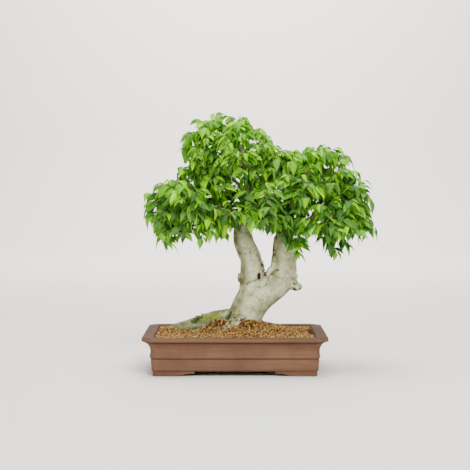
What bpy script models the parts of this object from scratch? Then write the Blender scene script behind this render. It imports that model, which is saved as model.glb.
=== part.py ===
"""Hackberry bonsai: two grey stems on one old root base, in a cut-cornered clay pot.

Everything is at real size, in metres, with +Z up. The tree is laid out about the middle of the
pot's base, which stands at z = 0. At the end one empty carries all of it, so that the middle of
the whole footprint, crown included, comes to the origin.
"""

import math
import random

import bmesh
import bpy
from mathutils import Vector
from mathutils.bvhtree import BVHTree

# Clearance between pieces that touch, and the distance at which points are one
GAP = 0.0003
MERGE = 0.00001
CUT_PAST = 0.010

# Pot: outside of the rim, its cut corners, and the floor
RIM_LENGTH = 0.450
RIM_DEPTH = 0.320
CORNER_CUT = 0.0235
CORNER_SOFTNESS = 0.0025
POT_HEIGHT = 0.0944
FOOT_HEIGHT = 0.0122
FLOOR_TOP = 0.0200
DRAIN_X = 0.105
DRAIN_RADIUS = 0.015
DRAIN_SIDES = 16

# Pot wall from the foot up: how far in from the rim's edge, and how high
OUTER_WALL = (
    (0.0250, FOOT_HEIGHT),
    (0.0238, 0.0148),
    (0.0214, 0.0440),
    (0.0226, 0.0450),
    (0.0226, 0.0461),
    (0.0199, 0.0472),
    (0.0193, 0.0520),
    (0.0206, 0.0588),
    (0.0202, 0.0650),
    (0.0180, 0.0722),
    (0.0132, 0.0788),
    (0.0066, 0.0828),
    (0.0008, 0.0850),
    (0.0000, 0.0870),
    (0.0000, 0.0920),
    (0.0022, POT_HEIGHT),
)
RIM_AND_CAVITY = (
    (0.0250, 0.0937),
    (0.0270, 0.0915),
    (0.0276, 0.0850),
    (0.0310, FLOOR_TOP),
)

# Feet: a ring under the body, cut through along and across the pot
FOOT_OUTER_INSET = 0.0262
FOOT_RING_WIDTH = 0.0130
FOOT_SINK = 0.0004
ARCH_STEP = 0.0070
FRONT_ARCH = ((0.1420, 0.0), (0.1330, 0.0010), (0.1230, 0.0045), (0.1120, 0.0064), (0.0976, ARCH_STEP))
SIDE_ARCH = ((0.0860, 0.0), (0.0790, 0.0010), (0.0700, 0.0045), (0.0620, 0.0064), (0.0520, ARCH_STEP))

# Mesh screens that keep the soil off the drain holes
SCREEN_SIZE = 0.046
SCREEN_THICKNESS = 0.0012
SCREEN_SLOT = (0.0340, 0.0060)
SCREEN_PITCH = 0.0110

# Soil: level at the walls, and the mound that the tree stands on
SOIL_LEVEL = 0.0888
MOUND_HEIGHT = 0.0300
MOUND_AT = (0.026, 0.030)
MOUND_REACH = (0.105, 0.080)
MOUND_LIMIT = (0.200, 0.136)
GRAIN_HEIGHT = 0.0022
SOIL_CELLS = (19, 13)
SOIL_SIZE = (0.402, 0.272)
SOIL_FILL_TOP = 0.180

# Thick wood, as stations along each limb: x, y, z and radius
LEFT_STEM = (
    (0.0240, 0.035, 0.0860, 0.0340),
    (0.0235, 0.035, 0.1060, 0.0390),
    (0.0235, 0.035, 0.1315, 0.0385),
    (0.0285, 0.034, 0.1517, 0.0365),
    (0.0349, 0.033, 0.1694, 0.0350),
    (0.0399, 0.031, 0.1871, 0.0325),
    (0.0412, 0.030, 0.2073, 0.0303),
    (0.0424, 0.029, 0.2326, 0.0311),
    (0.0419, 0.028, 0.2553, 0.0283),
    (0.0397, 0.027, 0.2748, 0.0268),
    (0.0331, 0.026, 0.2907, 0.0270),
    (0.0230, 0.026, 0.3134, 0.0260),
    (0.0192, 0.027, 0.3412, 0.0240),
    (0.0215, 0.028, 0.3840, 0.0190),
    (0.0310, 0.029, 0.4220, 0.0150),
    (0.0360, 0.030, 0.4600, 0.0115),
)
RIGHT_STEM = (
    (0.0260, 0.037, 0.0860, 0.0330),
    (0.0275, 0.037, 0.1060, 0.0390),
    (0.0285, 0.038, 0.1240, 0.0402),
    (0.0437, 0.039, 0.1467, 0.0360),
    (0.0639, 0.041, 0.1682, 0.0322),
    (0.0841, 0.042, 0.1858, 0.0310),
    (0.1043, 0.043, 0.2023, 0.0314),
    (0.1195, 0.044, 0.2225, 0.0330),
    (0.1233, 0.044, 0.2452, 0.0338),
    (0.1250, 0.044, 0.2689, 0.0311),
    (0.1228, 0.044, 0.2881, 0.0283),
    (0.1233, 0.044, 0.3134, 0.0248),
    (0.1270, 0.045, 0.3460, 0.0205),
    (0.1350, 0.045, 0.3840, 0.0160),
    (0.1500, 0.045, 0.4220, 0.0125),
)
FORK_WEB = (
    (0.0420, 0.035, 0.1500, 0.0350),
    (0.0560, 0.036, 0.1760, 0.0340),
    (0.0620, 0.037, 0.1960, 0.0300),
    (0.0680, 0.037, 0.2150, 0.0240),
    (0.0760, 0.037, 0.2350, 0.0150),
)
LONG_ROOT = (
    (0.0200, 0.036, 0.1180, 0.0330),
    (-0.0169, 0.038, 0.1210, 0.0240),
    (-0.0498, 0.042, 0.1180, 0.0222),
    (-0.0750, 0.046, 0.1135, 0.0200),
    (-0.1003, 0.049, 0.1065, 0.0170),
    (-0.1255, 0.052, 0.1000, 0.0138),
    (-0.1457, 0.054, 0.0970, 0.0120),
    (-0.1620, 0.055, 0.0900, 0.0095),
    (-0.1730, 0.056, 0.0800, 0.0070),
)
FRONT_ROOT = (
    (0.0140, 0.012, 0.1240, 0.0160),
    (-0.0020, -0.004, 0.1150, 0.0110),
    (-0.0160, -0.018, 0.1055, 0.0090),
    (-0.0260, -0.028, 0.0920, 0.0070),
)
BACK_ROOT = (
    (0.0400, 0.050, 0.1160, 0.0200),
    (0.0580, 0.072, 0.1080, 0.0140),
    (0.0720, 0.090, 0.0970, 0.0100),
    (0.0800, 0.102, 0.0840, 0.0070),
)
LOW_ROOT = (
    (-0.0100, 0.022, 0.1080, 0.0140),
    (-0.0480, 0.010, 0.0990, 0.0100),
    (-0.0760, 0.006, 0.0930, 0.0080),
    (-0.0980, 0.004, 0.0820, 0.0065),
)
PRUNED_STUB = (
    (0.1320, 0.040, 0.2220, 0.0200),
    (0.1480, 0.038, 0.2090, 0.0130),
    (0.1600, 0.036, 0.2020, 0.0090),
    (0.1690, 0.035, 0.1985, 0.0065),
)
LEFT_BURR = ((0.0220, 0.026, 0.2280, 0.0160), (0.0125, 0.024, 0.2250, 0.0095))
RIGHT_BURR = ((0.1400, 0.040, 0.2500, 0.0160), (0.1510, 0.038, 0.2480, 0.0085))
LIMBS = (
    LEFT_STEM,
    RIGHT_STEM,
    FORK_WEB,
    LONG_ROOT,
    FRONT_ROOT,
    BACK_ROOT,
    LOW_ROOT,
    PRUNED_STUB,
    LEFT_BURR,
    RIGHT_BURR,
)
LIMB_SIDES_LEVEL = 4
LIMB_VOXEL = 0.0030
LIMB_SMOOTHING = 5
LIMB_DETAIL = 0.0195
SOIL_HOLE_MARGINS = (0.0006, 0.0001)

# Branches: stations of the centre line, and the radius at the start and at the cut end.
# Every end carries one leafy spray.
BRANCH_SIDES_LEVEL = 1
BRANCHES = (
    (
        ((0.036, 0.030, 0.450), (0.0285, 0.030, 0.510), (0.0134, 0.030, 0.550), (0.005, 0.030, 0.575)),
        0.0108,
        0.0036,
    ),
    (
        ((0.150, 0.045, 0.414), (0.170, 0.045, 0.457), (0.188, 0.045, 0.485), (0.198, 0.045, 0.505)),
        0.0118,
        0.0036,
    ),
    (
        ((0.020, 0.028, 0.345), (-0.035, 0.020, 0.385), (-0.090, 0.008, 0.402), (-0.132, 0.000, 0.392)),
        0.0090,
        0.0034,
    ),
    (((-0.040, 0.018, 0.387), (-0.066, -0.030, 0.398), (-0.088, -0.066, 0.386)), 0.0052, 0.0030),
    (((-0.040, 0.020, 0.387), (-0.070, 0.066, 0.400), (-0.096, 0.098, 0.392)), 0.0052, 0.0030),
    (((0.020, 0.020, 0.372), (0.002, -0.034, 0.392), (-0.012, -0.078, 0.388)), 0.0070, 0.0030),
    (((0.028, 0.036, 0.400), (0.008, 0.084, 0.432), (-0.014, 0.118, 0.440)), 0.0070, 0.0030),
    (((0.034, 0.030, 0.440), (-0.012, 0.024, 0.478), (-0.056, 0.018, 0.492)), 0.0060, 0.0030),
    (((0.036, 0.028, 0.465), (0.030, -0.018, 0.498), (0.020, -0.056, 0.508)), 0.0052, 0.0030),
    (((0.036, 0.034, 0.470), (0.038, 0.076, 0.502), (0.026, 0.106, 0.510)), 0.0052, 0.0030),
    (((0.031, 0.030, 0.490), (0.062, 0.024, 0.524), (0.080, 0.018, 0.534)), 0.0046, 0.0028),
    (((0.020, 0.030, 0.532), (-0.018, 0.024, 0.556), (-0.040, 0.018, 0.560)), 0.0042, 0.0028),
    (((0.124, 0.036, 0.335), (0.104, -0.020, 0.366), (0.088, -0.060, 0.372)), 0.0070, 0.0030),
    (
        ((0.128, 0.044, 0.345), (0.178, 0.030, 0.368), (0.217, 0.020, 0.392), (0.262, 0.010, 0.400)),
        0.0070,
        0.0034,
    ),
    (((0.205, 0.023, 0.385), (0.228, -0.026, 0.394), (0.240, -0.062, 0.384)), 0.0046, 0.0030),
    (((0.215, 0.021, 0.391), (0.246, 0.064, 0.402), (0.266, 0.092, 0.396)), 0.0046, 0.0030),
    (((0.130, 0.054, 0.355), (0.148, 0.100, 0.384), (0.164, 0.130, 0.386)), 0.0066, 0.0030),
    (((0.146, 0.045, 0.412), (0.192, 0.044, 0.448), (0.238, 0.038, 0.458)), 0.0060, 0.0030),
    (((0.152, 0.040, 0.425), (0.166, -0.012, 0.452), (0.174, -0.052, 0.452)), 0.0052, 0.0030),
    (((0.156, 0.050, 0.432), (0.184, 0.090, 0.462), (0.200, 0.120, 0.462)), 0.0052, 0.0030),
    (((0.128, 0.040, 0.362), (0.092, 0.020, 0.400), (0.066, -0.006, 0.408)), 0.0056, 0.0030),
    (((0.022, 0.044, 0.362), (0.048, 0.088, 0.396), (0.066, 0.116, 0.398)), 0.0060, 0.0030),
    (((0.166, 0.045, 0.452), (0.136, 0.030, 0.486), (0.114, 0.024, 0.492)), 0.0046, 0.0028),
)

# Lobes of the crown: centre, half sizes, and how many shoots are tried on each.
# Shoots end on a lobe's skin and on an inner layer, which is a share of its size and count.
LOBES = (
    ((-0.024, 0.030, 0.540), (0.124, 0.112, 0.098), 110),
    ((-0.113, 0.015, 0.388), (0.122, 0.126, 0.098), 110),
    ((0.214, 0.040, 0.428), (0.128, 0.142, 0.130), 150),
    ((0.120, 0.030, 0.460), (0.085, 0.110, 0.090), 60),
    ((0.080, 0.000, 0.392), (0.105, 0.120, 0.080), 80),
    ((0.225, 0.015, 0.352), (0.124, 0.120, 0.070), 80),
)
LAYERS = ((1.0, 1.0), (0.52, 0.30))
SKIN_DEPTH = 0.12
LEAF_REACH = (0.014, 0.014, 0.010)
SHOOT_LIFT = 0.010
LOWEST_SLOPE = -0.70
CORE_FRACTION = 0.72
SHOOT_SPACING = 0.0418
HUB_LENGTH = 0.012
BARE_STEMS = ((-0.010, 0.125), 0.350)
TWIG_RADII = ((0.0026, 0.0018), (0.0012, 0.0010), (0.0009, 0.0008), (0.0007, 0.0007))
TWIG_CLEARANCE = 0.0025
FIRST_SOCKETS = (0.70, 0.85, 0.92, 1.0)
SOCKETS = (0.30, 0.56, 0.82)
SOCKETS_TRIED = 4
BACKWARD_COST = 0.8
SEED = "hackberry"

# Leaves: an arched blade with a long tip, hanging from a short stalk
LEAF_LENGTH = (0.034, 0.050)
LEAF_WIDTH = 0.52
HALF_THICKNESS = 0.0004
DROOP = (0.45, 1.30)
ARCH = 0.60
ROLL = 0.55
SPREAD_AT_END = 0.25
SPREAD_AT_SIDE = 1.15
SPREAD_DRAW = 0.35
LEVEL_LEAST = 0.2
RUN_ON_LEAST = 0.10
BLADE_SHAPE = ((0.0, 0.0), (0.32, 1.0), (0.62, 0.74), (1.0, 0.0))
TEST_MARGIN = 0.0006
TRIES = 7
SIDE_LEAF_PLACES = (0.43,)


def paint(name, colour, roughness, metallic=0.0):
    """Return a plain material of one colour."""
    material = bpy.data.materials.new(name)
    material.use_nodes = True
    shader = material.node_tree.nodes["Principled BSDF"]
    shader.inputs["Base Color"].default_value = (*colour, 1.0)
    shader.inputs["Roughness"].default_value = roughness
    shader.inputs["Metallic"].default_value = metallic
    material.diffuse_color = (*colour, 1.0)
    return material


def add_object(name, mesh, collection, material=None):
    """Put a mesh in the scene as an object."""
    item = bpy.data.objects.new(name, mesh)
    collection.objects.link(item)
    if material is not None:
        item.data.materials.append(material)
    return item


def add_cutter(name, mesh, collection):
    """Put a mesh in the scene as a shape that only cuts others."""
    item = add_object(name, mesh, collection)
    item.hide_render = True
    item.display_type = "WIRE"
    return item


def discard(item):
    """Remove an object and its data."""
    data = item.data
    bpy.data.objects.remove(item)
    if isinstance(data, bpy.types.Mesh):
        bpy.data.meshes.remove(data)
    else:
        bpy.data.curves.remove(data)


def bake(item):
    """Replace an object's mesh by its evaluated one, and drop its modifiers."""
    depsgraph = bpy.context.evaluated_depsgraph_get()
    mesh = bpy.data.meshes.new_from_object(item.evaluated_get(depsgraph))
    item.modifiers.clear()
    old = item.data
    item.data = mesh
    bpy.data.meshes.remove(old)


def boolean(item, other, operation, solver="EXACT"):
    """Cut or join one object with another, or with a collection, and bake the result."""
    modifier = item.modifiers.new(operation, "BOOLEAN")
    modifier.operation = operation
    modifier.solver = solver
    if isinstance(other, bpy.types.Collection):
        modifier.operand_type = "COLLECTION"
        modifier.collection = other
    else:
        modifier.object = other
    bake(item)


def loft(name, rings):
    """Return a closed mesh through rings of as many points each, merged where they meet."""
    shape = bmesh.new()
    loops = [[shape.verts.new(point) for point in ring] for ring in rings]
    count = len(loops[0])
    for lower, upper in zip(loops, loops[1:]):
        for index in range(count):
            after = (index + 1) % count
            shape.faces.new((lower[index], lower[after], upper[after], upper[index]))
    shape.faces.new(reversed(loops[0]))
    shape.faces.new(loops[-1])
    bmesh.ops.remove_doubles(shape, verts=shape.verts, dist=MERGE)
    bmesh.ops.recalc_face_normals(shape, faces=shape.faces)
    mesh = bpy.data.meshes.new(name)
    shape.to_mesh(mesh)
    shape.free()
    return mesh


def tube(name, stations, sides_level):
    """Return a closed mesh of a tube through stations of x, y, z and radius."""
    curve = bpy.data.curves.new(name, "CURVE")
    curve.dimensions = "3D"
    curve.bevel_depth = 1.0
    curve.bevel_resolution = sides_level
    curve.use_fill_caps = True
    spline = curve.splines.new("POLY")
    spline.points.add(len(stations) - 1)
    for point, (x, y, z, radius) in zip(spline.points, stations):
        point.co = (x, y, z, 1.0)
        point.radius = radius
    item = bpy.data.objects.new(name, curve)
    bpy.context.scene.collection.objects.link(item)
    depsgraph = bpy.context.evaluated_depsgraph_get()
    mesh = bpy.data.meshes.new_from_object(item.evaluated_get(depsgraph))
    discard(item)
    shape = bmesh.new()
    shape.from_mesh(mesh)
    bmesh.ops.remove_doubles(shape, verts=shape.verts, dist=MERGE)
    bmesh.ops.recalc_face_normals(shape, faces=shape.faces)
    shape.to_mesh(mesh)
    shape.free()
    return mesh


def box(name, size, centre):
    """Return a box's mesh."""
    shape = bmesh.new()
    bmesh.ops.create_cube(shape, size=1.0)
    bmesh.ops.scale(shape, vec=size, verts=shape.verts)
    bmesh.ops.translate(shape, vec=centre, verts=shape.verts)
    mesh = bpy.data.meshes.new(name)
    shape.to_mesh(mesh)
    shape.free()
    return mesh


def prism(name, outline, axis, half_length):
    """Return the mesh of an outline in the plane of an axis and Z, run along the other axis."""
    ends = []
    for side in (-half_length, half_length):
        if axis == "X":
            ends.append([Vector((along, side, height)) for along, height in outline])
        else:
            ends.append([Vector((side, along, height)) for along, height in outline])
    return loft(name, ends)


def pot_outline(inset, height):
    """Return the pot's plan at one height: a rectangle with soft-edged cut corners."""
    half_x = RIM_LENGTH / 2 - inset
    half_y = RIM_DEPTH / 2 - inset
    cut = max(CORNER_CUT - inset * (2 - math.sqrt(2)), 2 * CORNER_SOFTNESS)
    soft = CORNER_SOFTNESS
    slant = CORNER_SOFTNESS / math.sqrt(2)
    corner = [
        (half_x, half_y - cut - soft),
        (half_x - slant, half_y - cut + slant),
        (half_x - cut + slant, half_y - slant),
        (half_x - cut - soft, half_y),
    ]
    back_left = [(-x, y) for x, y in reversed(corner)]
    front_left = [(-x, -y) for x, y in corner]
    front_right = [(x, -y) for x, y in reversed(corner)]
    return [Vector((x, y, height)) for x, y in corner + back_left + front_left + front_right]


def make_pot(collection, cutters, material):
    """Model the pot: wall, rim and cavity in one loft, feet cut from a ring, drain holes."""
    levels = [pot_outline(inset, height) for inset, height in OUTER_WALL + RIM_AND_CAVITY]
    pot = add_object("pot", loft("pot", levels), collection, material)
    foot_top = FOOT_HEIGHT + FOOT_SINK
    feet = add_cutter(
        "foot_ring",
        loft("foot_ring", [pot_outline(FOOT_OUTER_INSET, 0.0), pot_outline(FOOT_OUTER_INSET, foot_top)]),
        cutters,
    )
    inner = FOOT_OUTER_INSET + FOOT_RING_WIDTH
    inside = add_cutter(
        "foot_ring_inside",
        loft("foot_ring_inside", [pot_outline(inner, -CUT_PAST), pot_outline(inner, foot_top + CUT_PAST)]),
        cutters,
    )
    boolean(feet, inside, "DIFFERENCE")
    for axis, arch in (("X", FRONT_ARCH), ("Y", SIDE_ARCH)):
        half = [(arch[0][0], -CUT_PAST), *arch, (arch[-1][0], FOOT_HEIGHT)]
        outline = half + [(-along, height) for along, height in reversed(half)]
        cutter = add_cutter(f"arch_{axis}", prism(f"arch_{axis}", outline, axis, RIM_LENGTH), cutters)
        boolean(feet, cutter, "DIFFERENCE")
    boolean(pot, feet, "UNION")
    for side in (-1, 1):
        shape = bmesh.new()
        bmesh.ops.create_cone(
            shape,
            cap_ends=True,
            segments=DRAIN_SIDES,
            radius1=DRAIN_RADIUS,
            radius2=DRAIN_RADIUS,
            depth=FLOOR_TOP + CUT_PAST,
        )
        bmesh.ops.translate(shape, vec=(side * DRAIN_X, 0, FLOOR_TOP), verts=shape.verts)
        mesh = bpy.data.meshes.new("drain_hole")
        shape.to_mesh(mesh)
        shape.free()
        boolean(pot, add_cutter("drain_hole", mesh, cutters), "DIFFERENCE")
    return pot


def make_screens(collection, cutters, material):
    """Model the two square screens that lie over the drain holes, each with three slots."""
    middle = FLOOR_TOP + GAP + SCREEN_THICKNESS / 2
    for name, x in (("drain_screen_left", -DRAIN_X), ("drain_screen_right", DRAIN_X)):
        plate = box(name, (SCREEN_SIZE, SCREEN_SIZE, SCREEN_THICKNESS), (x, 0, middle))
        screen = add_object(name, plate, collection, material)
        for row in (-1, 0, 1):
            slot = box("screen_slot", (*SCREEN_SLOT, CUT_PAST), (x, row * SCREEN_PITCH, middle))
            boolean(screen, add_cutter("screen_slot", slot, cutters), "DIFFERENCE")


def soil_height(x, y):
    """Return the height of the soil's surface: nearly level, with a mound under the tree."""
    reach = ((x - MOUND_AT[0]) / MOUND_REACH[0]) ** 2 + ((y - MOUND_AT[1]) / MOUND_REACH[1]) ** 2
    fade_x = max(0.0, 1 - (x / MOUND_LIMIT[0]) ** 4)
    fade_y = max(0.0, 1 - (y / MOUND_LIMIT[1]) ** 4)
    return SOIL_LEVEL + MOUND_HEIGHT * math.exp(-reach) * fade_x * fade_y


def make_soil(collection, cutters, material, tree):
    """Model the soil: a grainy mound that fills the cavity, with a hole that the roots fill."""
    draw = random.Random(f"{SEED}-soil")
    shape = bmesh.new()
    bmesh.ops.create_grid(shape, x_segments=SOIL_CELLS[0], y_segments=SOIL_CELLS[1], size=0.5)
    bmesh.ops.scale(shape, vec=(SOIL_SIZE[0], SOIL_SIZE[1], 1.0), verts=shape.verts)
    for vertex in shape.verts:
        grain = GRAIN_HEIGHT * (draw.random() - 0.5)
        vertex.co.z = soil_height(vertex.co.x, vertex.co.y) + grain
    extruded = bmesh.ops.extrude_face_region(shape, geom=shape.faces[:], use_keep_orig=True)
    for element in extruded["geom"]:
        if isinstance(element, bmesh.types.BMVert):
            element.co.z = 0.0
    bmesh.ops.recalc_face_normals(shape, faces=shape.faces)
    mesh = bpy.data.meshes.new("soil")
    shape.to_mesh(mesh)
    shape.free()
    soil = add_object("soil", mesh, collection, material)
    lip, shoulder, floor = [inset + GAP for inset, _height in RIM_AND_CAVITY[-3:]]
    levels = [
        pot_outline(floor, FLOOR_TOP + GAP),
        pot_outline(shoulder, RIM_AND_CAVITY[-2][1]),
        pot_outline(lip, RIM_AND_CAVITY[-3][1]),
        pot_outline(lip, SOIL_FILL_TOP),
    ]
    fill = add_cutter("soil_outline", loft("soil_outline", levels), cutters)
    boolean(soil, fill, "INTERSECT", "MANIFOLD")
    pocket = (SCREEN_SIZE + 2 * GAP, SCREEN_SIZE + 2 * GAP, 2 * (SCREEN_THICKNESS + 2 * GAP))
    for x in (-DRAIN_X, DRAIN_X):
        cutter = add_cutter("screen_pocket", box("screen_pocket", pocket, (x, 0, FLOOR_TOP)), cutters)
        boolean(soil, cutter, "DIFFERENCE", "MANIFOLD")
    for margin in SOIL_HOLE_MARGINS:
        hole = add_cutter("root_hole", tree.data.copy(), cutters)
        swell = hole.modifiers.new("margin", "DISPLACE")
        swell.mid_level = 0.0
        swell.strength = margin
        bake(hole)
        boolean(soil, hole, "DIFFERENCE", "MANIFOLD")
    keep_main_body(soil)
    return soil


def make_tree(collection, material):
    """Model the roots, both stems and the branches as the one piece of wood that they are."""
    shape = bmesh.new()
    for limb in LIMBS:
        mesh = tube("limb", limb, LIMB_SIDES_LEVEL)
        shape.from_mesh(mesh)
        bpy.data.meshes.remove(mesh)
    mesh = bpy.data.meshes.new("tree")
    shape.to_mesh(mesh)
    shape.free()
    tree = add_object("trunk", mesh, collection, material)
    remesh = tree.modifiers.new("one_skin", "REMESH")
    remesh.mode = "VOXEL"
    remesh.voxel_size = LIMB_VOXEL
    smooth = tree.modifiers.new("soften", "SMOOTH")
    smooth.factor = 0.5
    smooth.iterations = LIMB_SMOOTHING
    decimate = tree.modifiers.new("fewer_faces", "DECIMATE")
    decimate.ratio = LIMB_DETAIL
    bake(tree)
    branches = bpy.data.collections.new("branches")
    bpy.context.scene.collection.children.link(branches)
    for route, thick, thin in BRANCHES:
        mesh = tube("branch", branch_stations(route, thick, thin), BRANCH_SIDES_LEVEL)
        add_object("branch", mesh, branches)
    boolean(tree, branches, "UNION", "MANIFOLD")
    for item in list(branches.objects):
        discard(item)
    bpy.data.collections.remove(branches)
    return tree


def branch_stations(route, thick, thin):
    """Return a branch's stations with a radius that falls evenly from thick to thin."""
    last = len(route) - 1
    return [(*point, thick + (thin - thick) * index / last) for index, point in enumerate(route)]


def inside_lobe(point, lobe, fraction):
    """Tell whether a point lies in a lobe drawn in to a fraction of its size."""
    centre, half_sizes, _count = lobe
    total = sum(((point[i] - centre[i]) / (half_sizes[i] * fraction)) ** 2 for i in range(3))
    return total < 1.0


def shoot_points():
    """Return where the shoots end: spread evenly over each lobe's skin, with some further in."""
    turn = math.pi * (3 - math.sqrt(5))
    points = []
    for number, lobe in enumerate(LOBES):
        centre, half_sizes, count = lobe
        others = [other for other in LOBES if other is not lobe]
        for layer, share in LAYERS:
            total = round(count * share)
            draw = random.Random(f"{SEED}-lobe-{number}-{layer}")
            for index in range(total):
                rise = 1 - 2 * (index + 0.5) / total
                depth = layer * (1 - SKIN_DEPTH * draw.random())
                if rise < LOWEST_SLOPE:
                    continue
                across = math.sqrt(1 - rise * rise)
                way = (across * math.cos(index * turn), across * math.sin(index * turn), rise)
                point = Vector(
                    [centre[i] + way[i] * (half_sizes[i] - LEAF_REACH[i]) * depth for i in range(3)]
                )
                point.z += SHOOT_LIFT
                (low_x, high_x), bare_height = BARE_STEMS
                if low_x < point.x < high_x and point.z < bare_height:
                    continue
                if layer == 1.0 and any(inside_lobe(point, other, CORE_FRACTION) for other in others):
                    continue
                if all((point - other).length > SHOOT_SPACING for other in points):
                    points.append(point)
    return points


def hub_points():
    """Return for each branch its cut end, its direction there, and the hub of its spray."""
    hubs = []
    for route, _thick, _thin in BRANCHES:
        end = Vector(route[-1])
        way = (end - Vector(route[-2])).normalized()
        hubs.append((end, way, end + way * HUB_LENGTH))
    return hubs


def mesh_tree(mesh):
    """Return a mesh's search tree."""
    corners = [vertex.co.copy() for vertex in mesh.vertices]
    return BVHTree.FromPolygons(corners, [tuple(face.vertices) for face in mesh.polygons])


def twig_rings(start, end, start_radius, end_radius, side=None):
    """Return the two square rings of a twig, one edge of each along the side direction."""
    way = (end - start).normalized()
    if side is None:
        side = way.orthogonal()
    across = (side - way * side.dot(way)).normalized()
    over = across.cross(way)
    rings = []
    for place, radius in ((start, start_radius), (end, end_radius)):
        wide, thick = across * radius, over * radius
        rings.append([place + wide + thick, place - wide + thick, place - wide - thick, place + wide - thick])
    return rings


def twig_mesh(twig, radii):
    """Return a four-sided twig between its two points."""
    return loft("twig", twig_rings(*twig, *radii))


def plan_twigs(first, points, wood):
    """Grow a spray from its first twig: each twig leaves the side of an earlier one.

    Each twig comes back as its start, its end and its level, which sets its thickness.
    """
    twigs = []
    sockets = [(first[0].lerp(first[1], place), first[1] - first[0], 1) for place in FIRST_SOCKETS]
    for point in sorted(points, key=lambda place: (place - first[1]).length):

        def cost(socket):
            way = point - socket[0]
            return way.length * (1 + BACKWARD_COST * (1 - way.normalized().dot(socket[1].normalized())))

        for socket in sorted(sockets, key=cost)[:SOCKETS_TRIED]:
            base, _way, level = socket
            mesh = twig_mesh((base, point), (TWIG_CLEARANCE, TWIG_CLEARANCE))
            clear = not mesh_tree(mesh).overlap(wood)
            bpy.data.meshes.remove(mesh)
            if not clear:
                continue
            twigs.append((base, point, level))
            sockets.remove(socket)
            deeper = min(level + 1, len(TWIG_RADII) - 1)
            sockets += [(base.lerp(point, place), point - base, deeper) for place in SOCKETS]
            break
    return twigs


def leaf_rings(base, heading, droop, roll, length, margin=0.0):
    """Return the rings of a leaf that starts at base, goes off along heading and hangs down."""
    up = Vector((0, 0, 1))
    side = heading.cross(up)
    half_width = length * LEAF_WIDTH / 2
    spot = base.copy()
    rings = []
    reached = 0.0
    for along, wide_share in BLADE_SHAPE:
        half = wide_share * half_width
        pitch = droop + ARCH * (along - 0.5)
        forward = heading * math.cos(pitch) - up * math.sin(pitch)
        spot += forward * (along - reached) * length
        reached = along
        face = heading * math.sin(pitch) + up * math.cos(pitch)
        across = side * math.cos(roll) + face * math.sin(roll)
        outward = face * math.cos(roll) - side * math.sin(roll)
        wide = across * (half + (margin if half else 0.0))
        thick = outward * (HALF_THICKNESS + margin)
        rings.append([spot + wide + thick, spot - wide + thick, spot - wide - thick, spot + wide - thick])
    return rings


def plan_leaf(key, start, end, place, side):
    """Draw a leaf's stance at a place along a twig, alternating from side to side."""
    draw = random.Random(key)
    along = (end - start).normalized()
    level = Vector((along.x, along.y, 0.0))
    if level.length < LEVEL_LEAST:
        angle = draw.uniform(0, 2 * math.pi)
        level = Vector((math.cos(angle), math.sin(angle), 0.0))
    level.normalize()
    sideways = Vector((-level.y, level.x, 0.0)) * side
    spread = SPREAD_AT_END if place == 1.0 else SPREAD_AT_SIDE
    spread += draw.uniform(-SPREAD_DRAW, SPREAD_DRAW)
    heading = (level + sideways * spread).normalized()
    droop = draw.uniform(*DROOP)
    roll = draw.uniform(-ROLL, ROLL)
    length = draw.uniform(*LEAF_LENGTH)
    return start.lerp(end, place), heading, droop, roll, length


def draw_clear_leaf(key, twig, place, side, obstacles, leaves):
    """Return a stance for a leaf that touches none of the obstacles or leaves, or None."""
    for attempt in range(TRIES):
        stance = plan_leaf(f"{key}-{attempt}", *twig, place, side)
        trial_mesh = loft("trial", leaf_rings(*stance, margin=TEST_MARGIN))
        trial = mesh_tree(trial_mesh)
        bpy.data.meshes.remove(trial_mesh)
        close = [tree for base, tree in leaves if (base - stance[0]).length < 2.5 * LEAF_LENGTH[1]]
        if not any(trial.overlap(tree) for tree in obstacles + close):
            leaves.append((stance[0], trial))
            return stance
    return None


def make_sprays(collection, material, tree):
    """Model the sprays: twigs that fork out from each branch's end, and the leaves on them."""
    wood = mesh_tree(tree.data)
    stubs = [(end + way * GAP, hub) for end, way, hub in hub_points()]
    cells = [[] for _stub in stubs]
    for point in shoot_points():
        distances = [(point - hub).length for _start, hub in stubs]
        cells[distances.index(min(distances))].append(point)
    sprays = [plan_twigs(stub, points, wood) for stub, points in zip(stubs, cells)]
    twig_trees = []
    for stub, twigs in zip(stubs, sprays):
        meshes = [twig_mesh(stub, TWIG_RADII[0])]
        meshes += [twig_mesh((start, tip), TWIG_RADII[level]) for start, tip, level in twigs]
        twig_trees.append([mesh_tree(mesh) for mesh in meshes])
    leaves = []
    for number, (stub, twigs) in enumerate(zip(stubs, sprays)):
        obstacles = [wood]
        for index, trees in enumerate(twig_trees):
            if index != number:
                obstacles += trees
        pieces = [twig_mesh(stub, TWIG_RADII[0])]
        for count, (start, tip, level) in enumerate(twigs):
            key = f"{SEED}-{number}-{count}"
            turn = 1 if count % 2 else -1
            last = draw_clear_leaf(f"{key}-end", (start, tip), 1.0, turn, obstacles, leaves)
            pieces += shoot_meshes((start, tip), TWIG_RADII[level], last)
            for row, place in enumerate(SIDE_LEAF_PLACES):
                side = turn if row % 2 else -turn
                stance = draw_clear_leaf(f"{key}-{row}", (start, tip), place, side, obstacles, leaves)
                if stance:
                    pieces.append(loft("leaf", leaf_rings(*stance)))
        fuse(f"spray_{number + 1:02d}", pieces, collection, material)


def shoot_meshes(twig, radii, stance):
    """Return a twig that runs on into the leaf at its end, or two pieces where the bend is sharp."""
    if stance is None:
        return [twig_mesh(twig, radii)]
    start, tip = twig
    rings = leaf_rings(*stance)
    forward = (sum(rings[1], Vector()) - sum(rings[0], Vector())).normalized()
    if (tip - start).normalized().dot(forward) < RUN_ON_LEAST:
        return [twig_mesh(twig, radii), loft("leaf", rings)]
    side = stance[1].cross(Vector((0, 0, 1)))
    return [loft("shoot", twig_rings(*twig, *radii, side) + rings[1:])]


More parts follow.
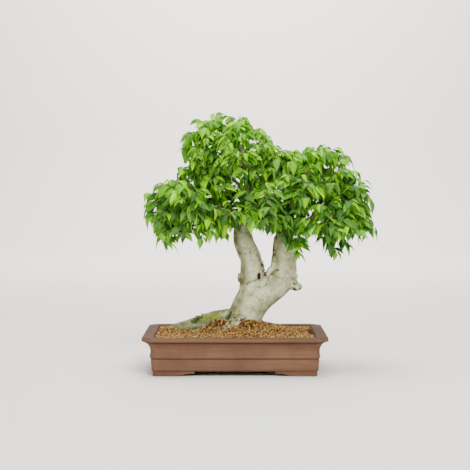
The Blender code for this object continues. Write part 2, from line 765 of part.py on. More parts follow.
def fuse(name, meshes, collection, material):
    """Join meshes into one solid."""
    pieces = bpy.data.collections.new("pieces")
    bpy.context.scene.collection.children.link(pieces)
    for mesh in meshes[1:]:
        add_object("piece", mesh, pieces)
    item = add_object(name, meshes[0], collection, material)
    boolean(item, pieces, "UNION", "MANIFOLD")
    for piece in list(pieces.objects):
        discard(piece)
    bpy.data.collections.remove(pieces)
    keep_main_body(item)
    return item


def keep_main_body(item):
    """Fill any hollow that the joining sealed, and drop any scrap that it left loose."""
    shape = bmesh.new()
    shape.from_mesh(item.data)
    unseen = set(shape.faces)
    bodies = []
    while unseen:
        body = set()
        front = [unseen.pop()]
        while front:
            face = front.pop()
            body.add(face)
            for edge in face.edges:
                for other in edge.link_faces:
                    if other in unseen:
                        unseen.remove(other)
                        front.append(other)
        bodies.append(body)
    bodies.sort(key=len)
    spare = [face for body in bodies[:-1] for face in body]
    bmesh.ops.delete(shape, geom=spare, context="FACES")
    shape.to_mesh(item.data)
    shape.free()


def centre_footprint(collection):
    """Carry everything on one empty, so the middle of the footprint is the origin."""
    items = collection.objects
    corners = [item.matrix_world @ Vector(corner) for item in items for corner in item.bound_box]
    middle_x = (min(c.x for c in corners) + max(c.x for c in corners)) / 2
    middle_y = (min(c.y for c in corners) + max(c.y for c in corners)) / 2
    lowest = min(c.z for c in corners)
    carrier = bpy.data.objects.new("bonsai_origin", None)
    bpy.context.scene.collection.objects.link(carrier)
    for item in items:
        item.parent = carrier
    carrier.location = (-middle_x, -middle_y, -lowest)


def main():
    """Build the bonsai."""
    for item in list(bpy.data.objects):
        bpy.data.objects.remove(item)
    parts = bpy.data.collections.new("hackberry_bonsai")
    cutters = bpy.data.collections.new("cutters")
    for collection in (parts, cutters):
        bpy.context.scene.collection.children.link(collection)
    clay = paint("unglazed_brown_clay", (0.25, 0.13, 0.085), 0.75)
    plastic = paint("black_plastic_mesh", (0.03, 0.03, 0.03), 0.6)
    grains = paint("baked_clay_grains", (0.36, 0.20, 0.07), 0.95)
    bark = paint("smooth_grey_bark", (0.40, 0.40, 0.30), 0.85)
    foliage = paint("hackberry_leaf", (0.10, 0.28, 0.03), 0.5)
    make_pot(parts, cutters, clay)
    make_screens(parts, cutters, plastic)
    tree = make_tree(parts, bark)
    make_soil(parts, cutters, grains, tree)
    make_sprays(parts, foliage, tree)
    centre_footprint(parts)


if __name__ == "__main__":
    main()
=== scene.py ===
"""Looks of a hackberry bonsai in its clay pot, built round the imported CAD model.

Everything is in metres in the frame of the CAD. The tree is laid out about the middle of the
pot's base, as in the CAD, and each finished piece is then carried to the pot's own place.
"""

import logging
import math
import random
from collections.abc import Callable, Iterable, Sequence
from dataclasses import dataclass, field
from enum import Enum

import bmesh
import bpy
import numpy as np
from bpy.types import Material, Node, NodeSocket, NodeTree, Object
from mathutils import Euler, Matrix, Vector, noise
from mathutils.bvhtree import BVHTree
from mathutils.kdtree import KDTree


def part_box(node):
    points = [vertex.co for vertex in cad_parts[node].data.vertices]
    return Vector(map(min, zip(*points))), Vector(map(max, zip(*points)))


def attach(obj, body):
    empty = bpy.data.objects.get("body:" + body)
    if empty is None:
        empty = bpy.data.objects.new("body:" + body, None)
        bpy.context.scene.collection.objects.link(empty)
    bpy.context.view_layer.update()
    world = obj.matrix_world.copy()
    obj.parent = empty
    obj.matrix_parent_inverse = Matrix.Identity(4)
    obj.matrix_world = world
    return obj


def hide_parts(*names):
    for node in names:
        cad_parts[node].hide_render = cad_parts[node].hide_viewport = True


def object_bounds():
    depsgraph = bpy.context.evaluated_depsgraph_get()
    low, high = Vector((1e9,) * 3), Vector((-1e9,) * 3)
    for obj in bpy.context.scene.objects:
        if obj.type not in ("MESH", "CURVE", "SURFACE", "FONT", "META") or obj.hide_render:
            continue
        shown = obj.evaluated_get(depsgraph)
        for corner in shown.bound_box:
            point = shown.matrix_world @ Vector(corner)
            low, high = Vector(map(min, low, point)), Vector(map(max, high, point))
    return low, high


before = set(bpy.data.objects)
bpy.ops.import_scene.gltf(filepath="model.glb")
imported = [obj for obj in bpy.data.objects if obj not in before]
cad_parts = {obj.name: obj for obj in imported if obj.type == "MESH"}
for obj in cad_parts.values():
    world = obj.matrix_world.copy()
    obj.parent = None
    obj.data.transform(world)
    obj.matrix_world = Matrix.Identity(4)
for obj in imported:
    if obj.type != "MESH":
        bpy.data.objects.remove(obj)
CAD_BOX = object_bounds()

LOG = logging.getLogger("bonsai")
MM = 0.001
# How level a face is to count as flat, and how near two numbers are to count as the same
LEVEL = 0.99
NEAR = 1e-5
DOWN = Vector((0, 0, -1))
BODY = "root"
SEED = "hackberry"

Flat = tuple[float, float]
Place = tuple[float, float, float]
Station = tuple[float, float, float, float]
Twig = tuple[Vector, Vector, int]
Lobe = tuple[Place, Place, int]


class Part(Enum):
    """Kinds of mesh element that can be selected in edit mode."""

    VERTEX = "VERT"
    EDGE = "EDGE"
    FACE = "FACE"


def linear(colour: str) -> tuple[float, float, float, float]:
    """Turn an sRGB hex colour into linear light.

    Args:
        colour: Six hex digits after a hash sign.

    Returns:
        Red, green, blue and an alpha of one.
    """
    parts = [int(colour[i : i + 2], 16) / 255 for i in (1, 3, 5)]
    light = [c / 12.92 if c <= 0.04045 else ((c + 0.055) / 1.055) ** 2.4 for c in parts]
    return (light[0], light[1], light[2], 1.0)


def metres(sizes: float | tuple) -> float | tuple:
    """Turn sizes in millimetres, in tuples of any depth, into metres."""
    return tuple(map(metres, sizes)) if isinstance(sizes, tuple) else round(sizes * MM, 7)


def clamp(value: float) -> float:
    """Hold a value between 0 and 1."""
    return min(max(value, 0.0), 1.0)


def deselect_all() -> None:
    """Leave edit mode and select nothing."""
    if bpy.context.object is not None and bpy.context.object.mode != "OBJECT":
        bpy.ops.object.mode_set(mode="OBJECT")
    bpy.ops.object.select_all(action="DESELECT")


def activate(item: Object) -> None:
    """Select one object alone and make it the active one."""
    deselect_all()
    item.select_set(True)
    bpy.context.view_layer.objects.active = item


def name_active(name: str) -> Object:
    """Name the object that an operator has just added.

    Args:
        name: Name of the object and of its data.

    Returns:
        The active object.
    """
    item = bpy.context.object
    item.name = name
    item.data.name = name
    return item


def edit() -> None:
    """Enter edit mode with nothing selected."""
    bpy.ops.object.mode_set(mode="EDIT")
    bpy.ops.mesh.select_all(action="DESELECT")


def leave_edit() -> None:
    """Go back to object mode."""
    bpy.ops.object.mode_set(mode="OBJECT")


def pick(part: Part, test: Callable[..., bool]) -> None:
    """Select in edit mode just the elements that pass a test.

    Args:
        part: Kind of element to go through.
        test: Takes one bmesh element and says whether it is wanted.
    """
    bpy.ops.mesh.select_mode(type=part.value)
    bpy.ops.mesh.select_all(action="DESELECT")
    mesh = bmesh.from_edit_mesh(bpy.context.edit_object.data)
    groups = {Part.VERTEX: mesh.verts, Part.EDGE: mesh.edges, Part.FACE: mesh.faces}
    for element in [element for element in groups[part] if test(element)]:
        element.select_set(True)
    mesh.select_flush_mode()
    bmesh.update_edit_mesh(bpy.context.edit_object.data)


def move(offset: Sequence[float]) -> None:
    """Move what is selected in edit mode."""
    bpy.ops.transform.translate(value=offset)


def stretch(factors: Sequence[float], centre: Sequence[float]) -> None:
    """Scale what is selected in edit mode about a point."""
    bpy.ops.transform.resize(value=factors, center_override=centre)


def add_modifier(item: Object, kind: str, **settings: object) -> None:
    """Add a modifier to an object, set it and apply it.

    Args:
        item: The object that gets it.
        kind: Blender's name for the kind of modifier.
        settings: Properties of the modifier.
    """
    modifier = item.modifiers.new(kind.lower(), kind)
    for name, value in settings.items():
        setattr(modifier, name, value)
    activate(item)
    bpy.ops.object.modifier_apply(modifier=modifier.name)


def join(items: Sequence[Object], name: str) -> Object:
    """Make one object out of several.

    Args:
        items: Objects to join, the first of which stays.
        name: Name of the result.

    Returns:
        The joined object.
    """
    activate(items[0])
    for item in items:
        item.select_set(True)
    if len(items) > 1:
        bpy.ops.object.join()
    return name_active(name)


def settle(item: Object, offset: Vector) -> Object:
    """Carry a piece to the pot's place and leave its object at the origin.

    Args:
        item: A finished piece, laid out about the middle of the pot.
        offset: Where the middle of the pot is.

    Returns:
        The same object.
    """
    item.location = offset
    activate(item)
    bpy.ops.object.transform_apply()
    return item


def smooth_line(points: Sequence[Sequence[float]], steps: int) -> list[tuple[float, ...]]:
    """Put more points on a line, on a smooth curve through the given ones.

    Args:
        points: Points of any number of coordinates.
        steps: How many pieces each stretch is cut into.

    Returns:
        The points of the finer line.
    """
    known = np.array(points, float)
    ends = np.vstack([2 * known[0] - known[1], known, 2 * known[-1] - known[-2]])
    line = []
    for before, here, after, beyond in zip(ends, ends[1:], ends[2:], ends[3:]):
        first = after - before
        second = 2 * before - 5 * here + 4 * after - beyond
        third = 3 * here - before - 3 * after + beyond
        for step in range(steps):
            t = step / steps
            line.append(0.5 * (2 * here + first * t + second * t**2 + third * t**3))
    line.append(known[-1])
    return [tuple(float(v) for v in point) for point in line]


def tubes(name: str, routes: Iterable[Sequence[Station]], level: int) -> Object:
    """Make closed round tubes along routes.

    Args:
        name: Name of the object.
        routes: For each tube its stations, each of x, y, z and radius.
        level: Bevel resolution, which gives 4 + 2 * level sides.

    Returns:
        One mesh object with all the tubes.
    """
    deselect_all()
    bpy.ops.curve.primitive_bezier_curve_add()
    item = name_active(name)
    curve = item.data
    curve.splines.clear()
    curve.bevel_depth = 1.0
    curve.bevel_resolution = level
    curve.use_fill_caps = True
    for route in routes:
        spline = curve.splines.new("POLY")
        spline.points.add(len(route) - 1)
        for point, (x, y, z, radius) in zip(spline.points, route):
            point.co = (x, y, z, 1.0)
            point.radius = radius
    activate(item)
    bpy.ops.object.convert(target="MESH")
    edit()
    bpy.ops.mesh.select_all(action="SELECT")
    bpy.ops.mesh.remove_doubles(threshold=0.01 * MM)
    bpy.ops.mesh.normals_make_consistent(inside=False)
    leave_edit()
    return item


def coat(item: Object, material: Material, smooth: bool = False) -> None:
    """Give an object its material, and smooth shading if it is wanted."""
    item.data.materials.append(material)
    if smooth:
        activate(item)
        bpy.ops.object.shade_smooth()


def discard(items: Iterable[Object]) -> None:
    """Delete objects that were made only to be copied or to cut with."""
    for item in items:
        bpy.data.objects.remove(item)


def corners(item: Object) -> np.ndarray:
    """Read the places of an object's vertices."""
    places = np.zeros(len(item.data.vertices) * 3)
    item.data.vertices.foreach_get("co", places)
    return places.reshape(-1, 3)


def set_corners(item: Object, places: np.ndarray) -> None:
    """Write the places of an object's vertices."""
    item.data.vertices.foreach_set("co", places.ravel())
    item.data.update()


def normals(item: Object) -> np.ndarray:
    """Read the normals of an object's vertices."""
    ways = np.zeros(len(item.data.vertices) * 3)
    item.data.vertex_normals.foreach_get("vector", ways)
    return ways.reshape(-1, 3)


def write_attribute(item: Object, name: str, values: np.ndarray) -> None:
    """Give each vertex of an object a number that its material can read."""
    layer = item.data.attributes.new(name, "FLOAT", "POINT")
    layer.data.foreach_set("value", np.asarray(values, np.float32))


def search_tree(item: Object) -> BVHTree:
    """Make the search tree of an object's mesh."""
    places = [vertex.co.copy() for vertex in item.data.vertices]
    return BVHTree.FromPolygons(places, [tuple(face.vertices) for face in item.data.polygons])


def add_node(
    tree: NodeTree,
    kind: str,
    settings: dict[str, object] | None = None,
    inputs: dict[str | int, object] | None = None,
    stops: Sequence[tuple[float, str]] = (),
) -> Node:
    """Add a node to a material, with its settings and links.

    Args:
        tree: The material's node tree.
        kind: Blender's identifier of the node.
        settings: Properties of the node.
        inputs: For each socket a value, or an output socket that is linked to it.
        stops: Places and sRGB colours of a colour ramp.

    Returns:
        The new node.
    """
    node = tree.nodes.new(kind)
    for name, value in (settings or {}).items():
        setattr(node, name, value)
    for key, value in (inputs or {}).items():
        if isinstance(value, NodeSocket):
            tree.links.new(value, node.inputs[key])
        else:
            node.inputs[key].default_value = value
    for index, (place, colour) in enumerate(stops):
        elements = node.color_ramp.elements
        element = elements[index] if index < 2 else elements.new(place)
        element.position = place
        element.color = linear(colour)
    return node


class Paint:
    """A material in the making, with a short call for each node that the finishes share."""

    def __init__(self, name: str) -> None:
        """Start the material.

        Args:
            name: What the real finish is.
        """
        self.material = bpy.data.materials.new(name)
        self.material.use_nodes = True
        self.tree = self.material.node_tree
        self.shader = self.tree.nodes["Principled BSDF"]

    def attribute(self, name: str) -> NodeSocket:
        """Read a number that each vertex carries."""
        return add_node(self.tree, "ShaderNodeAttribute", {"attribute_name": name}).outputs["Fac"]

    def noise(
        self, size: float, detail: float, drawn: Place = (1.0, 1.0, 1.0), roughness: float = 0.5
    ) -> NodeSocket:
        """Make a noise that is fixed to the object.

        Args:
            size: How far apart its bumps are.
            detail: How many finer layers it has.
            drawn: The object's coordinates are scaled by this, so less than 1 draws it out.
            roughness: How strong the finer layers are.

        Returns:
            The noise, from 0 to 1.
        """
        place = add_node(self.tree, "ShaderNodeTexCoord").outputs["Object"]
        if drawn != (1.0, 1.0, 1.0):
            inputs = {"Vector": place, "Scale": drawn}
            place = add_node(self.tree, "ShaderNodeMapping", inputs=inputs).outputs[0]
        inputs = {"Vector": place, "Scale": 1 / size, "Detail": detail, "Roughness": roughness}
        return add_node(self.tree, "ShaderNodeTexNoise", inputs=inputs).outputs["Fac"]

    def ramp(self, factor: NodeSocket, *stops: tuple[float, str]) -> NodeSocket:
        """Turn a number into a colour between the stops."""
        ramp = add_node(self.tree, "ShaderNodeValToRGB", inputs={"Fac": factor}, stops=stops)
        return ramp.outputs["Color"]

    def span(self, value: NodeSocket, source: Flat, target: Flat) -> NodeSocket:
        """Carry a number from one range over to another, and hold it there."""
        inputs = {"Value": value, "From Min": source[0], "From Max": source[1]}
        inputs |= {"To Min": target[0], "To Max": target[1]}
        return add_node(self.tree, "ShaderNodeMapRange", inputs=inputs).outputs[0]

    def sum_up(self, operation: str, *values: object) -> NodeSocket:
        """Work out one number from others."""
        node = add_node(self.tree, "ShaderNodeMath", {"operation": operation}, dict(enumerate(values)))
        return node.outputs[0]

    def tune(self, colour: NodeSocket, **changes: object) -> NodeSocket:
        """Change a colour's Hue, Saturation or Value."""
        inputs = {"Color": colour, **changes}
        return add_node(self.tree, "ShaderNodeHueSaturation", inputs=inputs).outputs[0]

    def mix(self, share: NodeSocket, under: NodeSocket, over: object) -> NodeSocket:
        """Lay a share of one colour over another."""
        inputs = {0: share, 6: under, 7: over}
        return add_node(self.tree, "ShaderNodeMix", {"data_type": "RGBA"}, inputs).outputs[2]

    def bump(self, height: NodeSocket, strength: float, distance: float, invert: bool = False) -> None:
        """Roughen the surface by a height, for relief too fine to model."""
        inputs = {"Height": height, "Strength": strength, "Distance": distance}
        node = add_node(self.tree, "ShaderNodeBump", {"invert": invert}, inputs)
        self.tree.links.new(node.outputs[0], self.shader.inputs["Normal"])

    def finish(self, colour: object, roughness: float, **inputs: float) -> Material:
        """Set the shader.

        Args:
            colour: The base colour, or a socket that gives it.
            roughness: The shader's roughness.
            inputs: Its other inputs, with _ for a space.

        Returns:
            The finished material.
        """
        if isinstance(colour, NodeSocket):
            self.tree.links.new(colour, self.shader.inputs["Base Color"])
        else:
            self.shader.inputs["Base Color"].default_value = colour
        self.shader.inputs["Roughness"].default_value = roughness
        for name, value in inputs.items():
            self.shader.inputs[name.replace("_", " ")].default_value = value
        return self.material


@dataclass(frozen=True)
class Stoneware:
    """Unglazed stoneware, pressed in a mould and fired: matt, faintly mottled red-brown clay.

    The iron in it gives the brown, the sand in it a fine grain of darker and paler specks.
    """

    base: str = "#6d4f3d"
    pale: str = "#745541"
    dark: str = "#654838"
    shadow_and_dirt: str = "#2c1a10"
    roughness: float = 0.78
    gloss: float = 0.12
    cloud: float = 70 * MM
    wiping: float = 5 * MM
    grain: float = 2.2 * MM
    relief: float = 0.4 * MM

    def material(self) -> Material:
        """Make the material."""
        paint = Paint("unglazed_stoneware")
        cloud = paint.noise(self.cloud, 5.0)
        tint = paint.ramp(cloud, (0.30, self.dark), (0.70, self.pale), (0.48, self.base))
        # The rows of the mould's wiping run round the pot, so this noise is drawn out level
        wiped = paint.noise(self.wiping, 3.0, (0.06, 0.06, 1.0))
        speckled = paint.sum_up("ADD", wiped, paint.noise(self.grain, 2.0))
        colour = paint.tune(tint, Value=paint.span(speckled, (0.7, 1.3), (0.84, 1.14)))
        # Painted shade and some dirt darken the clay in lines round the pot
        colour = paint.mix(paint.attribute("painted_shade_and_grime"), colour, linear(self.shadow_and_dirt))
        paint.bump(speckled, 0.35, self.relief)
        return paint.finish(colour, self.roughness, Specular_IOR_Level=self.gloss)


@dataclass(frozen=True)
class ScreenPlastic:
    """Black polyethylene netting, as it comes off the roll: dull with a faint sheen."""

    colour: str = "#1b1b1a"
    dusty: str = "#3a342c"
    roughness: float = 0.5
    dust: float = 6 * MM

    def material(self) -> Material:
        """Make the material."""
        paint = Paint("polyethylene_netting")
        tint = paint.ramp(paint.noise(self.dust, 4.0), (0.4, self.colour), (0.7, self.dusty))
        return paint.finish(tint, self.roughness)


@dataclass(frozen=True)
class BakedClay:
    """Grains of clay soil, dried hard and sieved: dusty ochre, darker where they are damp and where painted
    shadow falls.
    """

    name: str = "fired_clay_grains"
    damp_and_shaded: str = "#38220c"
    common: str = "#8f6423"
    dry: str = "#cfa45c"
    roughness: float = 0.9
    # Real grains are pitted finer than a millimetre; this is as fine as the render can show
    pit: float = 1.4 * MM
    relief: float = 0.5 * MM

    def material(self) -> Material:
        """Make the material, which reads each grain's tone from an attribute."""
        paint = Paint(self.name)
        tint = paint.ramp(paint.attribute("tone"), (0.05, self.damp_and_shaded), (0.95, self.dry), (0.5, self.common))
        pits = paint.noise(self.pit, 3.0)
        colour = paint.tune(tint, Value=paint.span(pits, (0.3, 0.7), (0.75, 1.2)))
        paint.bump(pits, 0.5, self.relief)
        return paint.finish(colour, self.roughness)


@dataclass(frozen=True)
class Bark:
    """Hackberry bark on old wood: smooth and pale grey-green, dulled by algae underneath.

    The attributes say where it is stained olive by algae, dark with rot, dead wood, or mossy, and where
    painted shade darkens it olive on its sides and undersides and dark in its hollow, its creases and under
    the crown.
    """

    pale: str = "#dfe0be"
    common: str = "#c8ca9e"
    dull: str = "#9ea480"
    olive: str = "#6d683d"
    dark: str = "#1e160e"
    dead: str = "#7a5c4a"
    moss: str = "#88952f"
    roughness: float = 0.72
    gloss: float = 0.2
    patch: float = 22 * MM
    fleck: float = 4.5 * MM
    relief: float = 0.8 * MM

    def material(self) -> Material:
        """Make the material."""
        paint = Paint("hackberry_bark")
        patch = paint.noise(self.patch, 6.0, roughness=0.62)
        tint = paint.ramp(patch, (0.34, self.dull), (0.66, self.pale), (0.50, self.common))
        # The bark's fine grain runs up the stem, so this noise is drawn out along it
        fleck = paint.noise(self.fleck, 4.0, (1.0, 1.0, 0.5), 0.7)
        colour = paint.tune(tint, Value=paint.span(fleck, (0.32, 0.62), (0.68, 1.08)))
        # The olive and dark attributes carry painted shade as well as stains
        stains_and_shade = {"olive": self.olive, "dead": self.dead, "moss": self.moss, "dark": self.dark}
        for attribute, shade in stains_and_shade.items():
            colour = paint.mix(paint.attribute(attribute), colour, linear(shade))
        paint.bump(fleck, 0.5, self.relief)
        return paint.finish(colour, self.roughness, Specular_IOR_Level=self.gloss)


@dataclass(frozen=True)
class YoungWood:
    """Bark of this year's twigs: thin and reddish brown with a slight gloss."""

    base: str = "#4b3d24"
    pale: str = "#6c6238"
    roughness: float = 0.55
    patch: float = 7 * MM

    def material(self) -> Material:
        """Make the material."""
        paint = Paint("young_twig_bark")
        tint = paint.ramp(paint.noise(self.patch, 3.0), (0.35, self.base), (0.65, self.pale))
        return paint.finish(tint, self.roughness)


@dataclass(frozen=True)
class LeafBlade:
    """A hackberry leaf: thin green blade, waxy above, that glows yellow-green against light.

    Young leaves are yellow-green and old ones dark. The midrib and side veins are paler.
    """

    old: str = "#477a34"
    grown: str = "#80b748"
    fresh: str = "#97d61c"
    young: str = "#b4ea00"
    roughness: float = 0.44
    gloss: float = 0.16
    through: float = 0.47
    veins: float = 7.0
    vein_slant: float = -0.9
    vein_paler: float = 1.15
    relief: float = 0.3 * MM

    def material(self) -> Material:
        """Make the material, which reads each leaf's tone and its own map."""
        paint = Paint("hackberry_leaf")
        tone = paint.attribute("tone")
        tint = paint.ramp(tone, (0.0, self.old), (1.0, self.young), (0.38, self.grown), (0.72, self.fresh))
        lines = self.vein_lines(paint)
        blade = paint.mix(lines, tint, paint.tune(tint, Value=self.vein_paler))
        paint.bump(lines, 0.4, self.relief, invert=True)
        paint.finish(blade, self.roughness, Specular_IOR_Level=self.gloss)
        # Light that comes through the blade is yellower and brighter than what it reflects
        glow = paint.tune(blade, Hue=0.485, Saturation=1.1, Value=1.35)
        back = add_node(paint.tree, "ShaderNodeBsdfTranslucent", inputs={"Color": glow})
        shares = {0: self.through, 1: paint.shader.outputs[0], 2: back.outputs[0]}
        both = add_node(paint.tree, "ShaderNodeMixShader", inputs=shares)
        paint.tree.links.new(both.outputs[0], paint.tree.nodes["Material Output"].inputs["Surface"])
        return paint.material

    def vein_lines(self, paint: Paint) -> NodeSocket:
        """Draw the midrib up the middle of the map, and the side veins that slant off it."""
        leaf = add_node(paint.tree, "ShaderNodeUVMap", {"uv_map": "leaf"})
        split = add_node(paint.tree, "ShaderNodeSeparateXYZ", inputs={0: leaf.outputs[0]})
        off = paint.sum_up("ABSOLUTE", paint.sum_up("SUBTRACT", split.outputs["X"], 0.5))
        rib = paint.span(off, (0.015, 0.05), (1.0, 0.0))
        slant = paint.sum_up("MULTIPLY_ADD", off, self.vein_slant, split.outputs["Y"])
        wave = paint.sum_up("COSINE", paint.sum_up("MULTIPLY", slant, 2 * math.pi * self.veins))
        return paint.sum_up("MAXIMUM", rib, paint.span(wave, (0.55, 1.0), (0.0, 0.55)))


@dataclass(frozen=True)
class Moss:
    """Living cushion moss: soft yellow-green tips over darker green."""

    deep: str = "#28400f"
    tip: str = "#a3b82c"
    roughness: float = 0.85
    sheen: float = 0.3

    def material(self) -> Material:
        """Make the material, which reads each tuft's tone from an attribute."""
        paint = Paint("cushion_moss")
        tint = paint.ramp(paint.attribute("tone"), (0.05, self.deep), (0.95, self.tip))
        return paint.finish(tint, self.roughness, Sheen_Weight=self.sheen)


@dataclass(frozen=True)
class Backdrop:
    """Matt off-white card, as a studio's floor and backdrop."""

    colour: str = "#f4f1ea"
    roughness: float = 0.85

    def material(self) -> Material:
        """Make the material."""
        return Paint("studio_card").finish(linear(self.colour), self.roughness)


@dataclass
class ClayPot:
    """Low rectangular pot with cut corners, a flared lip, a banded wall and cloud feet.

    A profile is a list of steps from the rim's widest line: how far in, and how high.
    """

    offset: Vector
    finish: Stoneware = Stoneware()
    length: float = 0.450
    depth: float = 0.320
    corner_cut: float = 0.0235
    corner_softness: float = 2.5 * MM
    widest: Flat = (0.0870, 0.0920)
    lip: tuple[Flat, ...] = metres((
        (0, 92), (0.7, 93.7), (2.4, 94.4), (14, 94.2), (24.5, 93.8), (26.4, 92.8), (27.2, 91), (27.6, 85),
        (31, 20),
    ))
    wall: tuple[Flat, ...] = metres((
        (0, 87), (1, 84.9), (6.6, 82.8), (13.2, 78.8), (18, 72.2), (20.2, 65), (20.6, 58.8), (19.3, 49),
        (19.4, 46), (20, 44.2), (22.4, 43.2), (22.9, 42.5), (22.3, 41.7), (21.4, 40.8), (22.6, 29),
        (23.8, 14.8), (24.4, 12.8), (25.2, 12.2),
    ))
    wall_steps: int = 3
    foot_height: float = 0.0122
    foot_step: float = 1.1 * MM
    foot_width: float = 0.0130
    front_arch: tuple[Flat, ...] = metres((
        (142, 0), (137.5, 0.4), (133, 1.2), (128, 2.7), (123, 4.3), (118, 5.5), (112, 6.4), (105, 6.9),
        (97.6, 7),
    ))
    side_arch: tuple[Flat, ...] = metres((
        (86, 0), (82.5, 0.4), (79, 1.2), (74.5, 2.7), (70, 4.3), (66, 5.5), (62, 6.4), (57, 6.9), (52, 7),
    ))
    edge: float = 0.5 * MM
    edge_angle: float = 60.0
    smooth_angle: float = 32.0
    # Painted shade, with some dirt, at the lip's top, under the lip, in the groove and at the foot's step:
    # the height, the reach and the strength of each line
    painted_shade_and_grime: tuple[tuple[float, float, float], ...] = (
        (0.0942, 0.0011, 0.38), (0.0826, 0.0036, 0.8), (0.0427, 0.0014, 0.6), (0.0138, 0.0014, 0.45),
    )
    drain_x: float = 0.105
    drain_radius: float = 0.015

    def build(self) -> Object:
        """Model the pot and dress it.

        Returns:
            The finished pot, in its place.
        """
        pot = self.start()
        self.follow(self.lip, 1)
        self.follow(smooth_line(self.wall, self.wall_steps), -1)
        self.soften_corners()
        self.add_feet()
        leave_edit()
        self.drill(pot)
        angle = math.radians(self.edge_angle)
        add_modifier(pot, "BEVEL", width=self.edge, segments=2, limit_method="ANGLE", angle_limit=angle)
        # Painted shade, with some dirt, in bands at the heights of the lines
        heights = corners(pot)[:, 2]
        shadow_and_dirt = sum(share * np.exp(-(((heights - line) / reach) ** 2)) for line, reach, share in self.painted_shade_and_grime)
        write_attribute(pot, "painted_shade_and_grime", shadow_and_dirt)
        activate(pot)
        bpy.ops.object.shade_smooth_by_angle(angle=math.radians(self.smooth_angle))
        coat(pot, self.finish.material())
        return settle(pot, self.offset)

    def start(self) -> Object:
        """Add a block as large as the rim's edge and cut its four corners."""
        deselect_all()
        low, high = self.widest
        bpy.ops.mesh.primitive_cube_add(size=1.0, location=(0, 0, (low + high) / 2))
        pot = name_active("clay_pot")
        pot.scale = (self.length, self.depth, high - low)
        bpy.ops.object.transform_apply()
        edit()
        pick(Part.EDGE, lambda edge: abs(edge.verts[0].co.z - edge.verts[1].co.z) > 1 * MM)
        bpy.ops.mesh.bevel(offset=self.corner_cut, offset_type="OFFSET", segments=1, affect="EDGES")
        return pot

    def follow(self, profile: Sequence[Flat], way: int) -> None:
        """Draw the top or bottom face of the block along a profile.

        Args:
            profile: Steps of how far in and how high, the first of which is already there.
            way: 1 for the face that looks up, -1 for the one that looks down.
        """
        pick(Part.FACE, lambda face: face.normal.z * way > LEVEL)
        for (inset, height), (next_inset, next_height) in zip(profile, profile[1:]):
            inward, rise = next_inset - inset, (next_height - height) * way
            if inward >= 0:
                bpy.ops.mesh.inset(thickness=max(inward, 1e-6), depth=rise, use_even_offset=True)
                continue
            self.draw_out(rise * way)
            wide, deep = self.length / 2 - inset, self.depth / 2 - inset
            stretch(((wide - inward) / wide, (deep - inward) / deep, 1), (0, 0, next_height))

    def soften_corners(self) -> None:
        """Round the edges that run down the cut corners."""
        pick(Part.EDGE, lambda edge: abs(edge.verts[0].co.z - edge.verts[1].co.z) > 1e-6)
        bpy.ops.mesh.bevel(offset=self.corner_softness, segments=3, affect="EDGES", clamp_overlap=True)

    def add_feet(self) -> None:
        """Draw four corner feet down from the bottom, with arched ends."""
        level = self.wall[-1][1]

        def at_bottom(face: bmesh.types.BMFace, middle: Vector) -> bool:
            """Tell whether a face looks down from the wall's lower end."""
            return face.normal.z < -LEVEL and abs(middle.z - level) < NEAR

        pick(Part.FACE, lambda face: at_bottom(face, face.calc_center_median()))
        bpy.ops.mesh.inset(thickness=self.foot_step, depth=0.0, use_even_offset=True)
        outer = self.wall[-1][0] + self.foot_step
        half = (self.length / 2 - outer, self.depth / 2 - outer)
        inner = (half[0] - self.foot_width, half[1] - self.foot_width)
        slack = 2 * MM
        bpy.ops.mesh.extrude_region_move()
        stretch((inner[0] / half[0], inner[1] / half[1], 1), (0, 0, level))

        def in_ring(face: bmesh.types.BMFace) -> bool:
            """Tell whether a face is part of the strip that the feet grow from."""
            middle = face.calc_center_bounds()
            x, y = abs(middle.x), abs(middle.y)
            within = x < inner[0] - slack and y < inner[1] - slack
            return at_bottom(face, middle) and x < half[0] and y < half[1] and not within

        arches = (self.front_arch, self.side_arch)
        for axis, arch in enumerate(arches):
            for along, _height in arch:
                for side in (-1, 1):
                    point, normal = [0.0, 0.0, 0.0], [0.0, 0.0, 0.0]
                    point[axis], normal[axis] = side * along, 1.0
                    pick(Part.FACE, in_ring)
                    bpy.ops.mesh.bisect(plane_co=point, plane_no=normal)
        ends = [arch[-1][0] for arch in arches]

        def under_foot(face: bmesh.types.BMFace) -> bool:
            """Tell whether a face of the strip has a foot below it."""
            middle = face.calc_center_bounds()
            on_front = abs(middle.y) > inner[1] - slack and abs(middle.x) > ends[0]
            on_side = abs(middle.x) > inner[0] - slack and abs(middle.y) > ends[1]
            return in_ring(face) and (on_front or on_side)

        pick(Part.FACE, under_foot)
        self.draw_out(-self.foot_height)

        def on_arch(spot: Vector) -> bool:
            """Tell whether a corner at the foot's end is on the line that is being raised."""
            lowest = spot.z < level - self.foot_height + NEAR
            at_end = abs(spot[1 - axis]) > inner[1 - axis] - 1 * MM
            return lowest and at_end and abs(abs(spot[axis]) - along) < NEAR

        for axis, arch in enumerate(arches):
            for along, height in arch[1:]:
                pick(Part.VERTEX, lambda vertex: on_arch(vertex.co))
                move((0, 0, height))

    def draw_out(self, rise: float) -> None:
        """Extrude the picked faces up or down."""
        bpy.ops.mesh.extrude_region_move(
            TRANSFORM_OT_translate={"value": (0, 0, rise), "orient_type": "GLOBAL"}
        )

    def drill(self, pot: Object) -> None:
        """Drill the two drain holes through the floor.

        Args:
            pot: The pot, laid out about its middle.
        """
        for side in (-1, 1):
            deselect_all()
            bpy.ops.mesh.primitive_cylinder_add(
                vertices=32, radius=self.drain_radius, depth=0.06, location=(side * self.drain_x, 0, 0.0)
            )
            bit = name_active("drill")
            add_modifier(pot, "BOOLEAN", operation="DIFFERENCE", object=bit, solver="EXACT")
            discard([bit])


